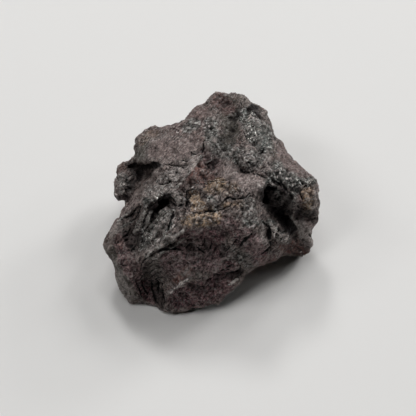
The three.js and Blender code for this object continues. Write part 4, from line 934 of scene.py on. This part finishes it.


# Weathered iron-rich stone, broken and left rough: dark and half metallic, with crystals that glint in its
# silver and ochre grain, partly as painted glints in the colour, and a dull skin where it is mauve, olive or
# rust.
# Its colour also holds painted highlights and painted shade.
finish = {
    "tones": {  # a dark and a light one for each finish
        "body": ("#3b2f2f", "#a1918a"),
        "mauve": ("#64524f", "#967f7a"),
        "wine": ("#40262a", "#b08388"),
        "silver": ("#424543", "#9a9d99"),
        "ochre": ("#574231", "#dfba92"),
        "rust": ("#3c160e", "#8a4532"),
        "olive": ("#36332d", "#6a655c"),
        "cream": ("#967b63", "#e6caac"),
        "paleAndPaintedLight": ("#8d827f", "#d2c8c2"),
        "dark": ("#100b0a", "#2b2323"),
    },
    "crack": "#060403",
    # the dark of painted shade in creases, also used for pores, gaps and fine dark lines
    "hollow": "#150c0b",
    # lighter edges, partly wear and partly painted highlight; also the pale grains
    "edge": "#b4a8a3",
    "cool": "#75827d",
    # painted glints: bright crystal cells in the colour
    "glint": "#dcdbd6",
    # painted highlights on crystals and ridges
    "fleck": "#efe6e2",
    # Sizes in mm of what the surface shows. The real crystals are 0.2 to 0.3 mm and the grit is finer: both
    # are drawn about twice as coarse, so that they show.
    "sizes": {
        "mottle": 1.8,
        "grain": 0.5,
        "streak": 0.55,
        "pore": 0.5,
        "thread": 0.8,  # thin dark lines between grains
        "crystal": 0.55,
        "grit": 0.42,
        "facet": 1.7,  # broken grains with dark gaps, plainest in the ochre
        "seam": 2.4,
        "seamPatch": 5,  # seams show in patches of this size
        "bend": 1.5,  # the borders of facets and seams bend at this size
    },
    "bend": 1.6,  # mm by which they do
    "grooveDepth": 0.8,  # mm
}


def surfacePatterns(add):  # clouds, the colours of cells, and how far it is to the gaps between cells
    place = add("TexCoord", {}, "Object")
    place = add("VectorMath", {0: place, "Scale": 1 / millimetre}, operation="SCALE")
    turned = add("Mapping", {"Vector": place, "Rotation": (0, -0.2, -0.97)})
    streaked = add("VectorMath", {0: turned, 1: (0.22, 1, 1)}, operation="MULTIPLY")
    dashed = add("VectorMath", {0: turned, 1: (0.4, 1, 1)}, operation="MULTIPLY")
    sizes = finish["sizes"]
    clouds = {}
    for name, where, detail in [
        ("mottle", place, 4),
        ("grain", place, 2),
        ("streak", streaked, 2),
        ("pore", dashed, 1.5),
        ("thread", dashed, 2),
        ("seamPatch", place, 4),
        ("bend", place, 4),
    ]:
        settings = {"Vector": where, "Scale": 1 / sizes[name], "Detail": detail, "Roughness": 0.65}
        clouds[name] = add("TexNoise", settings)
    bend = clouds["bend"].node.outputs["Color"]
    bend = add("VectorMath", {0: bend, "Scale": finish["bend"]}, operation="SCALE")
    bent = add("VectorMath", {0: place, 1: bend}, operation="ADD")
    cells, gaps = {}, {}
    for name, where in (("crystal", place), ("grit", place), ("facet", bent)):
        cells[name] = add("TexVoronoi", {"Vector": where, "Scale": 1 / sizes[name]}, "Color")
    for name in ("facet", "seam"):
        settings = {"Vector": bent, "Scale": 1 / sizes[name]}
        gaps[name] = add("TexVoronoi", settings, "Distance", feature="DISTANCE_TO_EDGE")
    return clouds, cells, gaps


def surfaceShares(add, layer, clouds, cells, gaps):  # how much each finish and pattern shows
    parts = {name: add("SeparateColor", {"Color": cell}).node.outputs for name, cell in cells.items()}
    smooth = add("Math", {0: layer["paleAndPaintedLight"], 1: 0.5}, operation="MULTIPLY")
    for name in ("mauve", "olive", "rust", "cream"):
        smooth = add("Math", {0: smooth, 1: layer[name]}, operation="MAXIMUM")
    silverOrWine = add("Math", {0: layer["silver"], 1: layer["wine"]}, operation="MAXIMUM")
    sums = {}
    for name, total, *added in [  # what it starts from, and what is added to that, times a weight
        ("calm", 1.0, (smooth, -0.6)),  # low where the stone is smooth
        ("tone", 0.0, (clouds["mottle"], 0.25), (clouds["grain"], 0.3), (clouds["streak"], 0.45)),
        ("thread", -0.5, (clouds["thread"], 1)),
        ("threadShare", 0.35, (silverOrWine, 0.5)),
        ("outlineShare", 0.15, (layer["ochre"], 0.75), (layer["silver"], 0.35)),
        ("glintShare", 0.2, (layer["ochre"], 0.3), (layer["silver"], 0.7)),
        ("grit", -0.5, (parts["grit"]["Red"], 1)),
        ("edge", 0.0, (layer["edge"], 0.65)),
        ("hollow", 0.0, (layer["hollow"], 0.85)),
        ("crack", layer["crack"], (clouds["pore"], 1.1)),
        ("fleck", layer["fleck"], (clouds["grain"], -1.2)),
    ]:
        for part, weight in added:
            total = add("Math", {0: part, 1: weight, 2: total}, operation="MULTIPLY_ADD")
        sums[name] = total
    calm = sums["calm"]
    thread = add("Math", {0: sums["thread"]}, operation="ABSOLUTE")
    ramps = {}
    for name, value, low, high, bottom, top in [  # from low to high of the value, it goes from bottom to top
        ("tone", sums["tone"], 0.43, 0.57, 0, 1),
        ("pore", clouds["pore"], 0.34, 0.42, 0.95, 0),
        ("grain", clouds["pore"], 0.57, 0.66, 0, 0.5),
        ("thread", thread, 0.008, 0.03, 1, 0),
        ("seam", gaps["seam"], 0.02, 0.07, 1, 0),
        ("seamPatch", clouds["seamPatch"], 0.45, 0.6, 0, 1),
        ("outline", gaps["facet"], 0.03, 0.12, 1, 0),
        ("golden", parts["facet"]["Red"], 0.1, 0.6, 0.6, 1),
        ("speckle", calm, 0.4, 1, 0.3, 1),
        ("cool", parts["grit"]["Blue"], 0.55, 0.65, 0, 0.4),
        ("glint", parts["crystal"]["Red"], 0.82, 0.86, 0, 1),
        ("polish", parts["crystal"]["Green"], 0.82, 0.86, 0, 0.7),
        ("silverPolish", parts["crystal"]["Green"], 0.4, 0.46, 0, 1),
        ("crack", sums["crack"], 0.97, 1.07, 0, 1),
        ("fleck", sums["fleck"], -0.15, 0.1, 0, 1),
    ]:
        limits = {"Value": value, "From Min": low, "From Max": high, "To Min": bottom, "To Max": top}
        ramps[name] = add("MapRange", limits)
    shares = {}
    for name, first, second in [  # one times the other
        ("pore", ramps["pore"], calm),
        ("grain", ramps["grain"], calm),
        ("thread", sums["threadShare"], calm),
        ("hairline", ramps["seam"], ramps["seamPatch"]),
        ("golden", ramps["golden"], layer["ochre"]),
        ("outline", ramps["outline"], sums["outlineShare"]),
        ("cool", ramps["cool"], layer["silver"]),
        ("glint", ramps["glint"], sums["glintShare"]),
        ("polish", ramps["polish"], calm),
        ("silverPolish", ramps["silverPolish"], layer["silver"]),
    ]:
        shares[name] = add("Math", {0: first, 1: second}, operation="MULTIPLY")
    shares["thread"] = add("Math", {0: ramps["thread"], 1: shares["thread"]}, operation="MULTIPLY")
    polished = {0: shares["polish"], 1: shares["silverPolish"]}
    shares["polish"] = add("Math", polished, operation="MAXIMUM")
    for name, total, *added in [
        ("goldenTone", 0.0, (parts["facet"]["Green"], 0.6), (ramps["tone"], 0.5)),
        ("speckle", 1.0, (sums["grit"], ramps["speckle"])),
        ("hairline", 0.0, (shares["hairline"], 0.7)),
        ("metal", 0.3, (layer["silver"], 0.45), (layer["ochre"], -0.25), (layer["rust"], -0.25),
         (shares["polish"], 0.6), (ramps["crack"], -1)),
        ("rough", 0.6, (shares["polish"], -0.32), (ramps["crack"], 0.3), (shares["glint"], -0.1)),
        ("lean", 0.0, (calm, 0.6), (layer["silver"], 0.5)),
        ("height", 0.0, (clouds["grain"], 0.6), (clouds["streak"], 0.8), (shares["grain"], 0.6),
         (shares["hairline"], -0.3), (shares["pore"], -0.6), (ramps["thread"], -0.35)),
    ]:
        for part, weight in added:
            total = add("Math", {0: part, 1: weight, 2: total}, operation="MULTIPLY_ADD")
        sums[name] = total
    return sums, ramps, shares


def surfaceColour(add, layer, sums, ramps, shares):
    tinted = {}
    for name, (dark, light) in finish["tones"].items():
        tone = sums["goldenTone"] if name == "ochre" else ramps["tone"]
        tinted[name] = add("Mix", {0: tone, 6: dark, 7: light}, 2, data_type="RGBA")
    skins = ("olive", "wine", "mauve", "rust", "silver", "paleAndPaintedLight")
    undercoats = [(layer[name], tinted[name]) for name in skins]
    undercoats += [
        (shares["golden"], tinted["ochre"]),
        (shares["outline"], finish["hollow"]),
        (layer["cream"], tinted["cream"]),
        (shares["pore"], finish["hollow"]),
        (shares["grain"], finish["edge"]),
    ]
    # Over these go dark lines and cracks, and painted light and shade: lighter edges (partly wear, partly
    # painted highlight), painted glints and highlights, and painted shade in creases and dark patches.
    overcoats = [
        (shares["thread"], finish["hollow"]),
        (sums["edge"], finish["edge"]),
        (shares["cool"], finish["cool"]),
        (shares["glint"], finish["glint"]),
        (layer["dark"], tinted["dark"]),
        (sums["hollow"], finish["hollow"]),
        (sums["hairline"], finish["hollow"]),
        (ramps["crack"], finish["crack"]),
        (ramps["fleck"], finish["fleck"]),
    ]
    colour = tinted["body"]
    for share, coat in undercoats:
        colour = add("Mix", {0: share, 6: colour, 7: coat}, 2, data_type="RGBA")
    colour = add("VectorMath", {0: colour, "Scale": sums["speckle"]}, operation="SCALE")
    for share, coat in overcoats:
        colour = add("Mix", {0: share, 6: colour, 7: coat}, 2, data_type="RGBA")
    return colour


def stoneMaterial():
    material = bpy.data.materials.new("weathered iron stone")
    material.use_nodes = True
    tree = material.node_tree
    shader = tree.nodes["Principled BSDF"]
    add = partial(addNode, tree)

    names = [*patches, "hollow", "edge", "crack"]
    layer = {name: add("Attribute", {}, "Fac", attribute_name=name) for name in names}
    clouds, cells, gaps = surfacePatterns(add)
    sums, ramps, shares = surfaceShares(add, layer, clouds, cells, gaps)
    colour = surfaceColour(add, layer, sums, ramps, shares)
    tree.links.new(colour, shader.inputs["Base Color"])
    tree.links.new(add("Clamp", {"Value": sums["metal"]}), shader.inputs["Metallic"])
    tree.links.new(sums["rough"], shader.inputs["Roughness"])

    lean = (-1.5, -1.5, -1.5)  # crystals, grit and facets each lean their own way
    for cell in cells.values():
        lean = add("VectorMath", {0: cell, 1: lean}, operation="ADD")
    lean = add("VectorMath", {0: lean, "Scale": sums["lean"]}, operation="SCALE")
    tilted = add("VectorMath", {0: add("NewGeometry", {}, "Normal"), 1: lean}, operation="ADD")
    tilted = add("VectorMath", {0: tilted}, operation="NORMALIZE")
    depth = finish["grooveDepth"] * millimetre
    bump = {"Strength": 0.9, "Distance": depth, "Height": sums["height"], "Normal": tilted}
    tree.links.new(add("Bump", bump), shader.inputs["Normal"])
    return material


rock.data.materials.append(stoneMaterial())
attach(rock, "root")
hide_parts("meteorite")
print("material made")


studio = {
    "floor": "#e6e5e3",
    "floorSize": 8.0,
    "backdrop": ("#dededd", 1.0),  # what is seen past the floor
    "dimSky": ("#ffffff", 0.008),  # and what lights the stone from there
    "lampDistance": 2.5,
    # Soft lamps, most of them behind the stone: watts, size in m, degrees right of straight back, degrees up.
    "lamps": [
        (18.8, 0.45, -11, 42.5),
        (8.8, 0.7, 10, 54),
        (13.5, 0.5, 50, 21),
        (13.5, 0.5, 50, 37),
        (4.5, 0.4, 30, 38),
        (3.8, 0.4, 70, 26),
        (9.5, 0.8, -110, 51),
        (5.5, 0.5, -88, 38),
        (9.0, 0.9, -50, 79),
    ],
}


def addFloor():
    bpy.ops.object.select_all(action="DESELECT")
    bpy.ops.mesh.primitive_plane_add(size=studio["floorSize"])
    floor = bpy.context.object
    floor.name = "floor"
    paper = bpy.data.materials.new("matt white paper")  # pale, with no gloss
    paper.use_nodes = True
    shader = paper.node_tree.nodes["Principled BSDF"]
    shader.inputs["Base Color"].default_value = linear(studio["floor"])
    shader.inputs["Roughness"].default_value = 0.9
    floor.data.materials.append(paper)


def addBackdrop():
    world = bpy.data.worlds.new("studio")
    world.use_nodes = True
    scene.world = world
    tree = world.node_tree
    tree.nodes.remove(tree.nodes["Background"])
    skies = []
    for colour, strength in (studio["dimSky"], studio["backdrop"]):
        skies.append(addNode(tree, "Background", {"Color": colour, "Strength": strength}))
    fromCamera = addNode(tree, "LightPath", {}, "Is Camera Ray")
    chosen = addNode(tree, "MixShader", {0: fromCamera, 1: skies[0], 2: skies[1]})
    tree.links.new(chosen, tree.nodes["World Output"].inputs["Surface"])


def addLamps():
    for number, (power, size, turn, rise) in enumerate(studio["lamps"]):
        data = bpy.data.lights.new(f"lamp{number}", "AREA")
        data.energy = power
        data.size = size
        lamp = bpy.data.objects.new(f"lamp{number}", data)
        scene.collection.objects.link(lamp)
        turn, rise = math.radians(turn), math.radians(rise)
        way = Vector((math.sin(turn) * math.cos(rise), math.cos(turn) * math.cos(rise), math.sin(rise)))
        lamp.location = way * studio["lampDistance"]
        lamp.rotation_euler = (-way).to_track_quat("-Z", "Y").to_euler()


addFloor()
addBackdrop()
addLamps()
scene.view_settings.view_transform = "Standard"
print("studio set")
